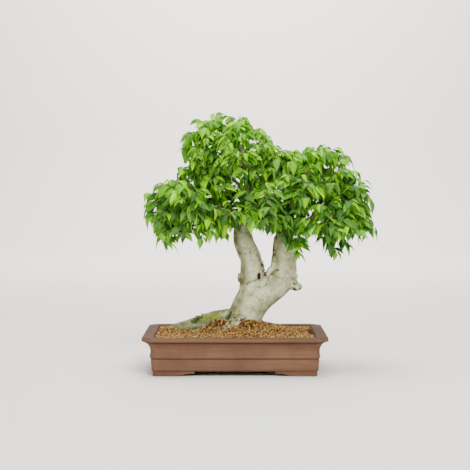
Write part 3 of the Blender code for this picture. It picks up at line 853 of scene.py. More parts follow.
@dataclass(frozen=True)
class TreePlan:
    """Where the tree's wood runs, as in the CAD, about the middle of the pot's base.

    A limb is a list of stations of x, y, z and radius. A branch is its route and its radius at
    the start and at the end, which carries one leafy spray. A lobe of the crown is its centre,
    its half sizes and how many shoots are tried on it.
    """

    limbs: tuple[tuple[Station, ...], ...] = metres((
        (
            (24, 35, 86, 34), (23.5, 35, 106, 39), (23.5, 35, 131.5, 38.5), (28.5, 34, 151.7, 36.5),
            (34.9, 33, 169.4, 35), (39.9, 31, 187.1, 32.5), (41.2, 30, 207.3, 30.3),
            (42.4, 29, 232.6, 31.1), (41.9, 28, 255.3, 28.3), (39.7, 27, 274.8, 26.8),
            (33.1, 26, 290.7, 27), (23, 26, 313.4, 26), (19.2, 27, 341.2, 24), (21.5, 28, 384, 19),
            (31, 29, 422, 15), (36, 30, 460, 11.5),
        ),
        (
            (26, 37, 86, 33), (27.5, 37, 106, 39), (28.5, 38, 124, 40.2), (43.7, 39, 146.7, 36),
            (63.9, 41, 168.2, 32.2), (84.1, 42, 185.8, 31), (104.3, 43, 202.3, 31.4),
            (119.5, 44, 222.5, 33), (123.3, 44, 245.2, 33.8), (125, 44, 268.9, 31.1),
            (122.8, 44, 288.1, 28.3), (123.3, 44, 313.4, 24.8), (127, 45, 346, 20.5), (135, 45, 384, 16),
            (150, 45, 422, 12.5),
        ),
        ((42, 35, 150, 35), (56, 36, 176, 34), (62, 37, 196, 30), (68, 37, 215, 24), (76, 37, 235, 15)),
        (
            (20, 36, 118, 33), (-16.9, 38, 121, 24), (-49.8, 42, 118, 22.2), (-75, 46, 113.5, 20),
            (-100.3, 49, 106.5, 17), (-125.5, 52, 100, 13.8), (-145.7, 54, 97, 12), (-162, 55, 90, 9.5),
            (-173, 56, 80, 7),
        ),
        ((14, 12, 124, 16), (-2, -4, 115, 11), (-16, -18, 105.5, 9), (-26, -28, 92, 7)),
        ((40, 50, 116, 20), (58, 72, 108, 14), (72, 90, 97, 10), (80, 102, 84, 7)),
        ((-10, 22, 108, 14), (-48, 10, 99, 10), (-76, 6, 93, 8), (-98, 4, 82, 6.5)),
        ((132, 40, 222, 20), (148, 38, 209, 13), (160, 36, 202, 9), (169, 35, 198.5, 6.5)),
        ((22, 26, 228, 16), (12.5, 24, 225, 9.5)), ((140, 40, 250, 16), (151, 38, 248, 8.5)),
    ))
    branches: tuple[tuple[tuple[Place, ...], float, float], ...] = metres((
        (((36, 30, 450), (28.5, 30, 510), (13.4, 30, 550), (5, 30, 575)), 10.8, 3.6),
        (((150, 45, 414), (170, 45, 457), (188, 45, 485), (198, 45, 505)), 11.8, 3.6),
        (((20, 28, 345), (-35, 20, 385), (-90, 8, 402), (-132, 0, 392)), 9, 3.4),
        (((-40, 18, 387), (-66, -30, 398), (-88, -66, 386)), 5.2, 3),
        (((-40, 20, 387), (-70, 66, 400), (-96, 98, 392)), 5.2, 3),
        (((20, 20, 372), (2, -34, 392), (-12, -78, 388)), 7, 3),
        (((28, 36, 400), (8, 84, 432), (-14, 118, 440)), 7, 3),
        (((34, 30, 440), (-12, 24, 478), (-56, 18, 492)), 6, 3),
        (((36, 28, 465), (30, -18, 498), (20, -56, 508)), 5.2, 3),
        (((36, 34, 470), (38, 76, 502), (26, 106, 510)), 5.2, 3),
        (((31, 30, 490), (62, 24, 524), (80, 18, 534)), 4.6, 2.8),
        (((20, 30, 532), (-18, 24, 556), (-40, 18, 560)), 4.2, 2.8),
        (((124, 36, 335), (104, -20, 366), (88, -60, 372)), 7, 3),
        (((128, 44, 345), (178, 30, 368), (217, 20, 392), (262, 10, 400)), 7, 3.4),
        (((205, 23, 385), (228, -26, 394), (240, -62, 384)), 4.6, 3),
        (((215, 21, 391), (246, 64, 402), (266, 92, 396)), 4.6, 3),
        (((130, 54, 355), (148, 100, 384), (164, 130, 386)), 6.6, 3),
        (((146, 45, 412), (192, 44, 448), (238, 38, 458)), 6, 3),
        (((152, 40, 425), (166, -12, 452), (174, -52, 452)), 5.2, 3),
        (((156, 50, 432), (184, 90, 462), (200, 120, 462)), 5.2, 3),
        (((128, 40, 362), (92, 20, 400), (66, -6, 408)), 5.6, 3),
        (((22, 44, 362), (48, 88, 396), (66, 116, 398)), 6, 3),
        (((166, 45, 452), (136, 30, 486), (114, 24, 492)), 4.6, 2.8),
    ))
    lobes: tuple[Lobe, ...] = (
        ((-0.024, 0.03, 0.54), (0.124, 0.112, 0.098), 110),
        ((-0.113, 0.015, 0.388), (0.122, 0.126, 0.098), 110),
        ((0.214, 0.04, 0.428), (0.128, 0.142, 0.13), 150), ((0.12, 0.03, 0.46), (0.085, 0.11, 0.09), 60),
        ((0.08, 0.0, 0.392), (0.105, 0.12, 0.08), 80), ((0.225, 0.015, 0.352), (0.124, 0.12, 0.07), 80),
    )


@dataclass(frozen=True)
class Mark:
    """A place where the wood is pushed in or out, and stained; in the hollow, in creases and under the crown
    the stain is painted shade.

    The line is where its middle runs as seen from the front: each corner's x and z. It, the
    width and the push are in millimetres. The push is along the wood's own normal, out if positive,
    or straight back into the wood if it is a hole.
    """

    line: tuple[Flat, ...]
    width: float
    push: float
    stain_and_shade: str
    strength: float
    hole: bool = False


def distance_to_line(places: np.ndarray, line: Sequence[Sequence[float]]) -> np.ndarray:
    """Measure how far points are from a line of straight stretches.

    Args:
        places: Points, one a row.
        line: Corners of the line.

    Returns:
        One distance for each point.
    """
    best = np.full(len(places), np.inf)
    for start, end in zip(line, line[1:]):
        first, way = np.array(start), np.array(end) - np.array(start)
        share = np.clip((places - first) @ way / max(way @ way, 1e-12), 0, 1)
        best = np.minimum(best, np.linalg.norm(places - first - share[:, None] * way, axis=1))
    return best


def wave_field(places: np.ndarray, size: float, seed: float) -> np.ndarray:
    """Give smooth noise from about -1 to 1 at each point, with bumps about a size apart."""
    shift = Vector((seed, seed * 0.7, -seed))
    return np.array([noise.noise(Vector(place) / size + shift) for place in places])


@dataclass
class Wood:
    """Roots, both stems and the branches, as the one piece of wood that they are."""

    offset: Vector
    plan: TreePlan = TreePlan()
    finish: Bark = Bark()
    limb_voxel: float = 2.2 * MM
    limb_smoothing: int = 8
    branch_voxel: float = 1.76 * MM
    branch_smoothing: int = 2
    swells: tuple[Flat, ...] = (
        (26 * MM, 1.1 * MM), (9 * MM, 0.55 * MM), (4.5 * MM, 0.3 * MM),
    )
    bark_top: float = 0.308
    rough_size: float = 7 * MM
    cloud_size: float = 16 * MM
    # A hole opens only in front of this depth; its edge and its painted shade's, in widths, with their
    # softness
    hole_front: float = 0.035
    hole_edge: Flat = (0.70, 0.22)
    hole_shade: Flat = (0.68, 0.06)
    lumps: tuple[Station, ...] = metres((
        # Dead wood on the left stem's inner side
        (68, 21, 266, 4.2), (70.6, 21, 256, 4.6), (71.6, 21, 246, 5), (71.6, 21, 237, 5.4),
        # The left burr
        (10, 20, 234, 4.8), (9.2, 21, 226.5, 4.2), (10.8, 20, 219, 4.4),
        # The cut stub
        (150.5, 30, 220, 7.5), (154, 29, 211, 8.8), (162, 31, 204.5, 7.8), (166.5, 31, 202.5, 4.5),
        (154.5, 29, 199.5, 8.2), (148, 30, 202, 9), (153.2, 32, 228.5, 6.8),
        # Old root ends at the foot of the stems
        (16, -4, 124.5, 6.2), (23.5, -5, 130, 5), (30, -8, 115, 6.5), (22.5, -11, 109, 5.5),
    ))
    strands: tuple[tuple[Station, ...], ...] = metres((
        # The inner edge of the right stem, down to the fork
        (
            (90, 24, 237, 6.6), (94.6, 26, 250, 6.5), (97.5, 28, 264, 7.2), (101.2, 32, 285, 8),
            (103.7, 34, 308, 8.5), (106, 38, 330, 7),
        ),
        ((76, 24, 228, 7.6), (80.5, 25, 233, 7.8), (86.2, 26, 241, 7.8), (91.5, 26, 250, 8)),
        # Thin roots that lie over the root in front
        ((4, -4, 134, 4.2), (-10, -12, 124.5, 3.6), (-21, -19, 113, 3.2), (-30, -26, 100, 3)),
        ((8, -6, 130, 4.2), (-1, -13, 119.5, 3.6), (-9.5, -22, 108.5, 3.2), (-15, -30, 99, 3)),
        ((20, -4, 128, 4.5), (12, -11, 119, 4), (4, -17, 110, 3.6), (-2, -24, 101, 3)),
    ))
    marks: tuple[Mark, ...] = (
        # The hollow beside the fork, painted dark as its shade, and the dead wood on the inner sides of both
        # stems
        Mark(((60.7, 234.9), (60.2, 225.9)), 6.4, -12.0, "dark", 1.0, True),
        Mark(((69.9, 259.5), (73.9, 246.9), (75.4, 233.2)), 5.0, -0.8, "dark", 0.75),
        Mark(((69.9, 259.5), (73.9, 246.9), (75.4, 233.2)), 6.5, 0.0, "dead", 1.0),
        Mark(((54.4, 287), (63.9, 267), (69.7, 257)), 3.0, -0.6, "dark", 0.5),
        Mark(((97, 312.1), (96.5, 292.1), (95, 274.5)), 3.0, -0.8, "dark", 0.7),
        Mark(((59.6, 218.4), (68.4, 221.9), (78.4, 227.9)), 3.0, -0.6, "olive", 0.6),
        Mark(((7, 140.4), (-4.3, 126.6), (-20.6, 105.3)), 9.0, 0.0, "olive", 0.85),
        Mark(((4.5, 135.4), (-9.3, 121.6), (-21.8, 106.6)), 2.4, -0.6, "dark", 0.55),
        Mark(((14.5, 131.7), (3.3, 119.1), (-9.3, 104.1)), 2.6, -0.6, "dead", 0.9),
        Mark(((12, 127.9), (20.8, 120.4), (30.8, 116.6)), 6.0, -0.4, "dead", 0.85),
        # Rings and creases where branches were cut long ago and the bark has closed, darkened with stains
        # and with painted shade in the creases
        Mark(((4.5, 292.6), (20.8, 286.5), (34.3, 290.6), (53.4, 297.1)), 3.0, -1.1, "olive", 0.55),
        Mark(((21.6, 199.3), (31.6, 213.9), (39.6, 218.4), (55.9, 221.9)), 3.0, -1.4, "olive", 0.75),
        Mark(((32.1, 213.4), (38.3, 217.9)), 2.6, -0.6, "dark", 0.5),
        Mark(
            ((86, 226.9), (84.5, 213.1), (76.9, 205.8), (67.2, 202.8), (54.6, 203.8)), 2.6, -1.2, "olive",
            0.6,
        ),
        Mark(((96, 230.4), (113.5, 227.1), (133.6, 225.1), (153.6, 226.9)), 2.6, -1.2, "olive", 0.4),
        Mark(((105, 228.9), (108, 227.4)), 2.0, -1.2, "dark", 0.7),
        Mark(((47.9, 194.8), (44.9, 187.8), (38.3, 180.8)), 2.0, -1.0, "olive", 0.6),
        Mark(((64.9, 187.3), (67.9, 185.8)), 2.0, -1.0, "dark", 0.5),
        Mark(((53.4, 181.8), (58.4, 173), (69.7, 170.5)), 2.4, 0.8, "olive", 0.5),
        Mark(((84.7, 179.3), (79.7, 168)), 3.2, 0.6, "olive", 0.5),
        Mark(((68.4, 164.2), (81, 160.5), (91, 169.2)), 2.2, -0.8, "olive", 0.5),
        Mark(((20.8, 156.7), (15.8, 144.2), (5.8, 136.7)), 2.6, -1.0, "olive", 0.5),
        Mark(((23.3, 201.8), (13.3, 176.8), (3.3, 156.7)), 4.5, -1.2, "olive", 0.5),
        Mark(((15.8, 171.8), (5.8, 141.7)), 5.0, -1.4, "olive", 0.4),
        # Algae in the damp corners, and along the inner edge of the right stem; painted shade in the creases
        # and on the left stem's edges below the crown
        Mark(((92.5, 236.4), (100, 242.4), (106.5, 246.4)), 4.6, 0.6, "olive", 1.0),
        Mark(((102, 242.9), (106, 245.9)), 2.4, 0.0, "dark", 0.3),
        Mark(((134.8, 224.9), (152.4, 219.4)), 5.0, 0.6, "olive", 0.9),
        Mark(((104.5, 332.2), (101.5, 307.1), (101, 267)), 4.6, 0.0, "olive", 0.9),
        Mark(((93.5, 293.3), (93.2, 280.8)), 2.2, -1.0, "dark", 0.75),
        # Painted shade on the left stem's edges below the crown
        Mark(((-0.5, 337.2), (4.3, 314.6), (9.3, 294.6)), 6.5, 0.0, "dark", 0.42),
        Mark(((47.1, 337.2), (55.9, 307.1)), 4.0, 0.0, "dark", 0.35),
        # The left burr, and the ragged, half rotten end of the cut stub, its pits dark with rot and with
        # painted shade
        Mark(((7.3, 233.9), (8.8, 215.4)), 4.0, 0.4, "dead", 1.0),
        Mark(((12.3, 231.9), (12.8, 216.9)), 2.6, -1.2, "dark", 0.6),
        Mark(((157.6, 206.8), (167.4, 203.3)), 3.2, 0.0, "dead", 0.35),
        Mark(((148.1, 200.8), (150.1, 196.3)), 3.2, -2.6, "dark", 1.0),
        Mark(((147.1, 221.4), (149.1, 218.9)), 2.2, -1.2, "dark", 0.6),
        Mark(((154.6, 216.4), (155.9, 212.4)), 2.2, -1.4, "dark", 0.7),
        Mark(((149.1, 210.9), (152.6, 208.3)), 2.2, -1.4, "dark", 0.75),
        Mark(((162.7, 198.3), (167.2, 197.3)), 1.8, -1.0, "dark", 0.6),
        # Dead wood and shade at the foot of the stems, and the ropy grain of the root in front
        Mark(((13.3, 121.6), (19.5, 125.4), (24.6, 130.4)), 4.6, 0.0, "dead", 0.9),
        Mark(((28.3, 109.1), (33.3, 114.1)), 3.6, 0.0, "dead", 0.9),
        Mark(((15.8, 123.1), (17.3, 122.1)), 2.4, -2.2, "dark", 0.85),
        Mark(((22.3, 130.7), (23.3, 129.1)), 1.8, -1.4, "dark", 0.7),
        Mark(((-23.1, 126.6), (-9.3, 128.1)), 4.4, -1.0, "dark", 0.7),
        Mark(((-34.3, 140.4), (-16.8, 144.2)), 5.0, 0.0, "moss", 0.35),
        Mark(((-3, 131.7), (-14.3, 117.9), (-24.3, 106.6)), 2.0, -1.0, "olive", 0.8),
        Mark(((4.5, 124.1), (-6.8, 111.6), (-14.3, 101.6)), 2.0, -1.0, "olive", 0.8),
        # Moss along the long root
        Mark(((-87, 120.1), (-64.4, 125.1), (-41.9, 129.1)), 6.5, 0.9, "moss", 1.0),
        Mark(((-74.4, 112.9), (-31.8, 122.9)), 4.0, 0.0, "dark", 0.45),
        Mark(((-107, 110.4), (-89.5, 116.6)), 5.0, 0.4, "dark", 0.4),
    )

    def build(self) -> Object:
        """Model the wood and dress it.

        Returns:
            The finished wood, in its place.
        """
        wood = tubes("wood", [smooth_line(limb, 3) for limb in self.plan.limbs], 8)
        add_modifier(wood, "REMESH", mode="VOXEL", voxel_size=self.limb_voxel)
        add_modifier(wood, "SMOOTH", factor=0.5, iterations=self.limb_smoothing)
        routes = [self.branch_line(*branch) for branch in self.plan.branches]
        branches = tubes("branches", routes + [smooth_line(strand, 3) for strand in self.strands], 6)
        wood = join([wood, branches, *(self.lump(*lump) for lump in self.lumps)], "wood")
        add_modifier(wood, "REMESH", mode="VOXEL", voxel_size=self.branch_voxel)
        add_modifier(wood, "SMOOTH", factor=0.5, iterations=self.branch_smoothing)
        self.sculpt(wood)
        coat(wood, self.finish.material(), True)
        return settle(wood, self.offset)

    def lump(self, x: float, y: float, z: float, radius: float) -> Object:
        """Model a round lump of bark, to be fused with the wood."""
        deselect_all()
        bpy.ops.mesh.primitive_ico_sphere_add(subdivisions=2, radius=radius, location=(x, y, z))
        return name_active("lump")

    def branch_line(self, route: Sequence[Place], thick: float, thin: float) -> list[Station]:
        """Give a branch's stations a radius that falls evenly along it, and soft bends."""
        last = len(route) - 1
        stations = [(*point, thick + (thin - thick) * i / last) for i, point in enumerate(route)]
        return smooth_line(stations, 6)

    def sculpt(self, wood: Object) -> None:
        """Swell the bark, press the marks in and write the stains and the painted shade.

        Args:
            wood: The wood, laid out about the middle of the pot.
        """
        places, ways = corners(wood), normals(wood)
        thick = np.clip((self.bark_top + 0.08 - places[:, 2]) / 0.10, 0.25, 1)
        push = np.zeros(len(places))
        for number, (size, height) in enumerate(self.swells):
            push += wave_field(places, size, 3.1 * number) * height * thick
        moved = places + ways * push[:, None]
        stains_and_shade = {name: np.zeros(len(places)) for name in ("olive", "dead", "moss", "dark")}
        rough = wave_field(places, self.rough_size, 9.0)
        ragged = np.clip(0.95 + 1.3 * rough, 0.25, 1.5)
        front = np.clip(0.55 - 2.5 * ways[:, 1], 0, 1)
        for mark in self.marks:
            width, depth = mark.width * MM, mark.push * MM
            reach = distance_to_line(places[:, (0, 2)], metres(mark.line))
            if mark.hole:
                reach = np.where(places[:, 1] < self.hole_front, reach, 1.0)
                moved[:, 1] -= self.inside(reach / width, *self.hole_edge) * depth
                # The hollow's inside is painted dark: painted shade
                stain_and_shade = self.inside(reach / width, *self.hole_shade)
            else:
                share = np.exp(-((reach / width) ** 2)) * front
                moved += ways * (share * depth)[:, None]
                stain_and_shade = np.clip(share * mark.strength * ragged, 0, 1)
            stains_and_shade[mark.stain_and_shade] = np.maximum(stains_and_shade[mark.stain_and_shade], stain_and_shade)
        stains_and_shade["olive"] = np.clip(np.maximum(stains_and_shade["olive"], self.algae_and_shade(places, ways)), 0, 1)
        # Painted shadow of the crown on the tops of the stems
        above = np.clip((places[:, 2] - self.bark_top) / 0.03, 0, 1)
        stains_and_shade["dark"] = np.maximum(stains_and_shade["dark"], above * (0.50 + 0.2 * rough))
        set_corners(wood, moved)
        for name, values in stains_and_shade.items():
            write_attribute(wood, name, values)

    def inside(self, reach: np.ndarray, edge: float, softness: float) -> np.ndarray:
        """Give 1 within an edge and 0 outside it, with a soft change between them."""
        return 1 / (1 + np.exp(np.minimum((reach - edge) / softness, 700.0)))

    def algae_and_shade(self, places: np.ndarray, ways: np.ndarray) -> np.ndarray:
        """Say how dull algae and dust make the undersides, the stems' sides and the long root, with painted
        shade on the undersides and on the stems' left and right sides.
        """
        under = np.clip(-1.4 * ways[:, 2] - 0.02, 0, 1) * 0.9
        # The stems' sides are darker by how the light falls on them: painted shade
        left = np.clip(-1.7 * ways[:, 0] - 0.25, 0, 1)
        right = np.clip(1.6 * ways[:, 0] - 0.60, 0, 1) * 0.45
        root = np.clip((-0.005 - places[:, 0]) / 0.03, 0, 1) * np.clip((0.16 - places[:, 2]) / 0.03, 0, 1)
        cloudy = np.clip(0.75 + 0.7 * wave_field(places, self.cloud_size, 5.0), 0, 1)
        return np.maximum.reduce((under, left, right, root)) * cloudy


@dataclass
class Copies:
    """Where the copies of some small modelled shapes go, in one object.

    Each copy has its kind, its turn and scale as a 3 x 3 matrix, its place and its tone.
    """

    kinds: list[int] = field(default_factory=list)
    turns: list[np.ndarray] = field(default_factory=list)
    places: list[np.ndarray] = field(default_factory=list)
    tones: list[float] = field(default_factory=list)

    def add(self, kind: int, turn: np.ndarray, place: Sequence[float], tone: float) -> None:
        """Note one more copy."""
        self.kinds.append(kind)
        self.turns.append(turn)
        self.places.append(np.array(place, float))
        self.tones.append(tone)

    def build(self, name: str, masters: Sequence[Object]) -> Object:
        """Copy the shapes into one object, each copy with vertices of its own.

        Args:
            name: Name of the object.
            masters: The shapes, in the order of their kinds.

        Returns:
            The object, with the tones and the shapes' own maps.
        """
        kinds = np.array(self.kinds)
        places, loops, starts, tones, maps = [], [], [], [], []
        vertex_count = loop_count = 0
        for kind, master in enumerate(masters):
            chosen = np.flatnonzero(kinds == kind)
            if not len(chosen):
                continue
            shape = corners(master)
            turns = np.array([self.turns[i] for i in chosen])
            spots = np.array([self.places[i] for i in chosen])
            places.append((np.einsum("kij,nj->kni", turns, shape) + spots[:, None]).reshape(-1, 3))
            tones.append(np.repeat([self.tones[i] for i in chosen], len(shape)))
            around = np.zeros(len(master.data.loops), np.int32)
            master.data.loops.foreach_get("vertex_index", around)
            first = np.zeros(len(master.data.polygons), np.int32)
            master.data.polygons.foreach_get("loop_start", first)
            shift = np.arange(len(chosen))[:, None]
            loops.append((around[None] + shift * len(shape) + vertex_count).ravel())
            starts.append((first[None] + shift * len(around) + loop_count).ravel())
            if master.data.uv_layers:
                flat = np.zeros(2 * len(around))
                master.data.uv_layers[0].uv.foreach_get("vector", flat)
                maps.append(np.tile(flat, len(chosen)))
            vertex_count += len(shape) * len(chosen)
            loop_count += len(around) * len(chosen)
        mesh = bpy.data.meshes.new(name)
        mesh.vertices.add(vertex_count)
        mesh.vertices.foreach_set("co", np.concatenate(places).ravel())
        mesh.loops.add(loop_count)
        mesh.loops.foreach_set("vertex_index", np.concatenate(loops))
        mesh.polygons.add(sum(len(group) for group in starts))
        mesh.polygons.foreach_set("loop_start", np.concatenate(starts))
        if maps:
            mesh.uv_layers.new(name="leaf").uv.foreach_set("vector", np.concatenate(maps))
        mesh.update(calc_edges=True)
        item = bpy.data.objects.new(name, mesh)
        bpy.context.scene.collection.objects.link(item)
        write_attribute(item, "tone", np.concatenate(tones))
        return item


@dataclass
class SoilGrains:
    """The top layer of the soil: thousands of hard clay grains that lie on the CAD soil."""

    offset: Vector
    finish: BakedClay = BakedClay()
    half_size: Flat = (0.1965, 0.1315)
    spacing: float = 4.0 * MM
    stray: float = 1.1 * MM
    radius: Flat = (1.7 * MM, 2.9 * MM)
    sink: float = 0.15
    unevenness: Flat = (-0.4 * MM, 0.5 * MM)
    row_share: float = 0.866
    layer: float = 2.6 * MM
    buried_tone: float = 0.6
    shadow_tone: float = 0.15
    tone_power: float = 1.15
    kinds: int = 6
    lowest: float = 0.075
    above: float = 0.2
    heaps: tuple[tuple[float, float, float, float, float], ...] = (
        (-0.045, 0.002, 0.017, 0.03, 0.015), (0.042, -0.014, 0.013, 0.028, 0.013),
        (-0.165, 0.04, 0.006, 0.016, 0.012),
    )
    # Painted shadow by the right-hand wall: the middle and half sizes of a strip of darker grains
    shadow_strip: tuple[float, float, float, float] = (0.1910, 0.010, 0.009, 0.050)

    def masters(self) -> list[Object]:
        """Model the few grains that all others are copies of, a unit in radius."""
        grains = []
        for number in range(self.kinds):
            deselect_all()
            bpy.ops.mesh.primitive_ico_sphere_add(subdivisions=1, radius=1.0)
            grain = name_active("grain")
            edit()
            bpy.ops.mesh.select_all(action="SELECT")
            bpy.ops.transform.vertex_random(offset=0.34, seed=number + 3)
            stretch((1.0, 0.82 + 0.03 * number, 0.74), (0, 0, 0))
            leave_edit()
            grains.append(grain)
        return grains

    def heap(self, x: float, y: float) -> float:
        """Say how high the soil is heaped up against the roots at a place."""
        return sum(
            height * math.exp(-(((x - middle_x) / half_x) ** 2) - ((y - middle_y) / half_y) ** 2)
            for middle_x, middle_y, height, half_x, half_y in self.heaps
        )

    def in_shadow_strip(self, x: float, y: float) -> bool:
        """Tell whether a place is in the strip of painted shadow by the right-hand wall."""
        middle_x, middle_y, half_x, half_y = self.shadow_strip
        return math.hypot((x - middle_x) / half_x, (y - middle_y) / half_y) < 1

    def build(self) -> Object:
        """Scatter the grains over the soil.

        Returns:
            The grains, in their place.
        """
        draw = random.Random(f"{SEED}-grains")
        ground = search_tree(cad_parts["soil"])
        copies = Copies()
        half_x, half_y = self.half_size
        rows = int(2 * half_y / (self.spacing * self.row_share)) + 1
        columns = int(2 * half_x / self.spacing) + 1
        for row in range(rows):
            for column in range(columns):
                x = -half_x + (column + 0.5 * (row % 2)) * self.spacing
                y = -half_y + row * self.spacing * self.row_share
                x += draw.uniform(-self.stray, self.stray)
                y += draw.uniform(-self.stray, self.stray)
                radius = draw.uniform(*self.radius)
                if abs(x) > half_x - radius or abs(y) > half_y - radius:
                    continue
                spot = Vector((x, y, self.above)) + self.offset
                hit = ground.ray_cast(spot, DOWN)[0]
                if hit is None or hit.z < self.lowest:
                    continue
                heap = self.heap(x, y)
                turn = Euler([draw.uniform(0, 2 * math.pi) for _axis in range(3)]).to_matrix()
                turn = np.array(turn) * radius
                height = hit.z + radius * self.sink + draw.uniform(*self.unevenness)
                # Grains in the strip by the right-hand wall are made dark as painted shadow
                tone = draw.random() ** self.tone_power * (self.shadow_tone if self.in_shadow_strip(x, y) else 1.0)
                # Where the soil is heaped up, more layers of grains fill the heap
                for layer in range(1 + round(heap / self.layer)):
                    place = (spot.x, spot.y, height + max(0.0, heap - layer * self.layer))
                    shade = self.buried_tone if layer else 1.0
                    copies.add(draw.randrange(self.kinds), turn, place, tone * shade)
        masters = self.masters()
        grains = copies.build("soil_grains", masters)
        discard(masters)
        coat(grains, self.finish.material())
        return grains


@dataclass(frozen=True)
class Stance:
    """How a leaf hangs: where it starts, the way it goes off, its droop, its roll and its length."""

    base: Vector
    heading: Vector
    droop: float
    roll: float
    length: float


class LeafStore:
    """Where leaves already hang, kept by small cubes of space so that neighbours are found fast."""

    def __init__(self, cell: float) -> None:
        """Start empty, with cubes whose side is no less than the longest leaf."""
        self.cell = cell
        self.cubes: dict[tuple[int, int, int], list[BVHTree]] = {}

    def key(self, place: Vector) -> tuple[int, int, int]:
        """Give the cube that a place is in."""
        return tuple(math.floor(value / self.cell) for value in place)

    def add(self, base: Vector, blade: BVHTree) -> None:
        """Keep a leaf."""
        self.cubes.setdefault(self.key(base), []).append(blade)

    def is_clear(self, base: Vector, blade: BVHTree) -> bool:
        """Tell whether a leaf would touch none of the leaves kept so far."""
        x, y, z = self.key(base)
        return not any(
            blade.overlap(other)
            for i in (x - 1, x, x + 1)
            for j in (y - 1, y, y + 1)
            for k in (z - 1, z, z + 1)
            for other in self.cubes.get((i, j, k), ())
        )


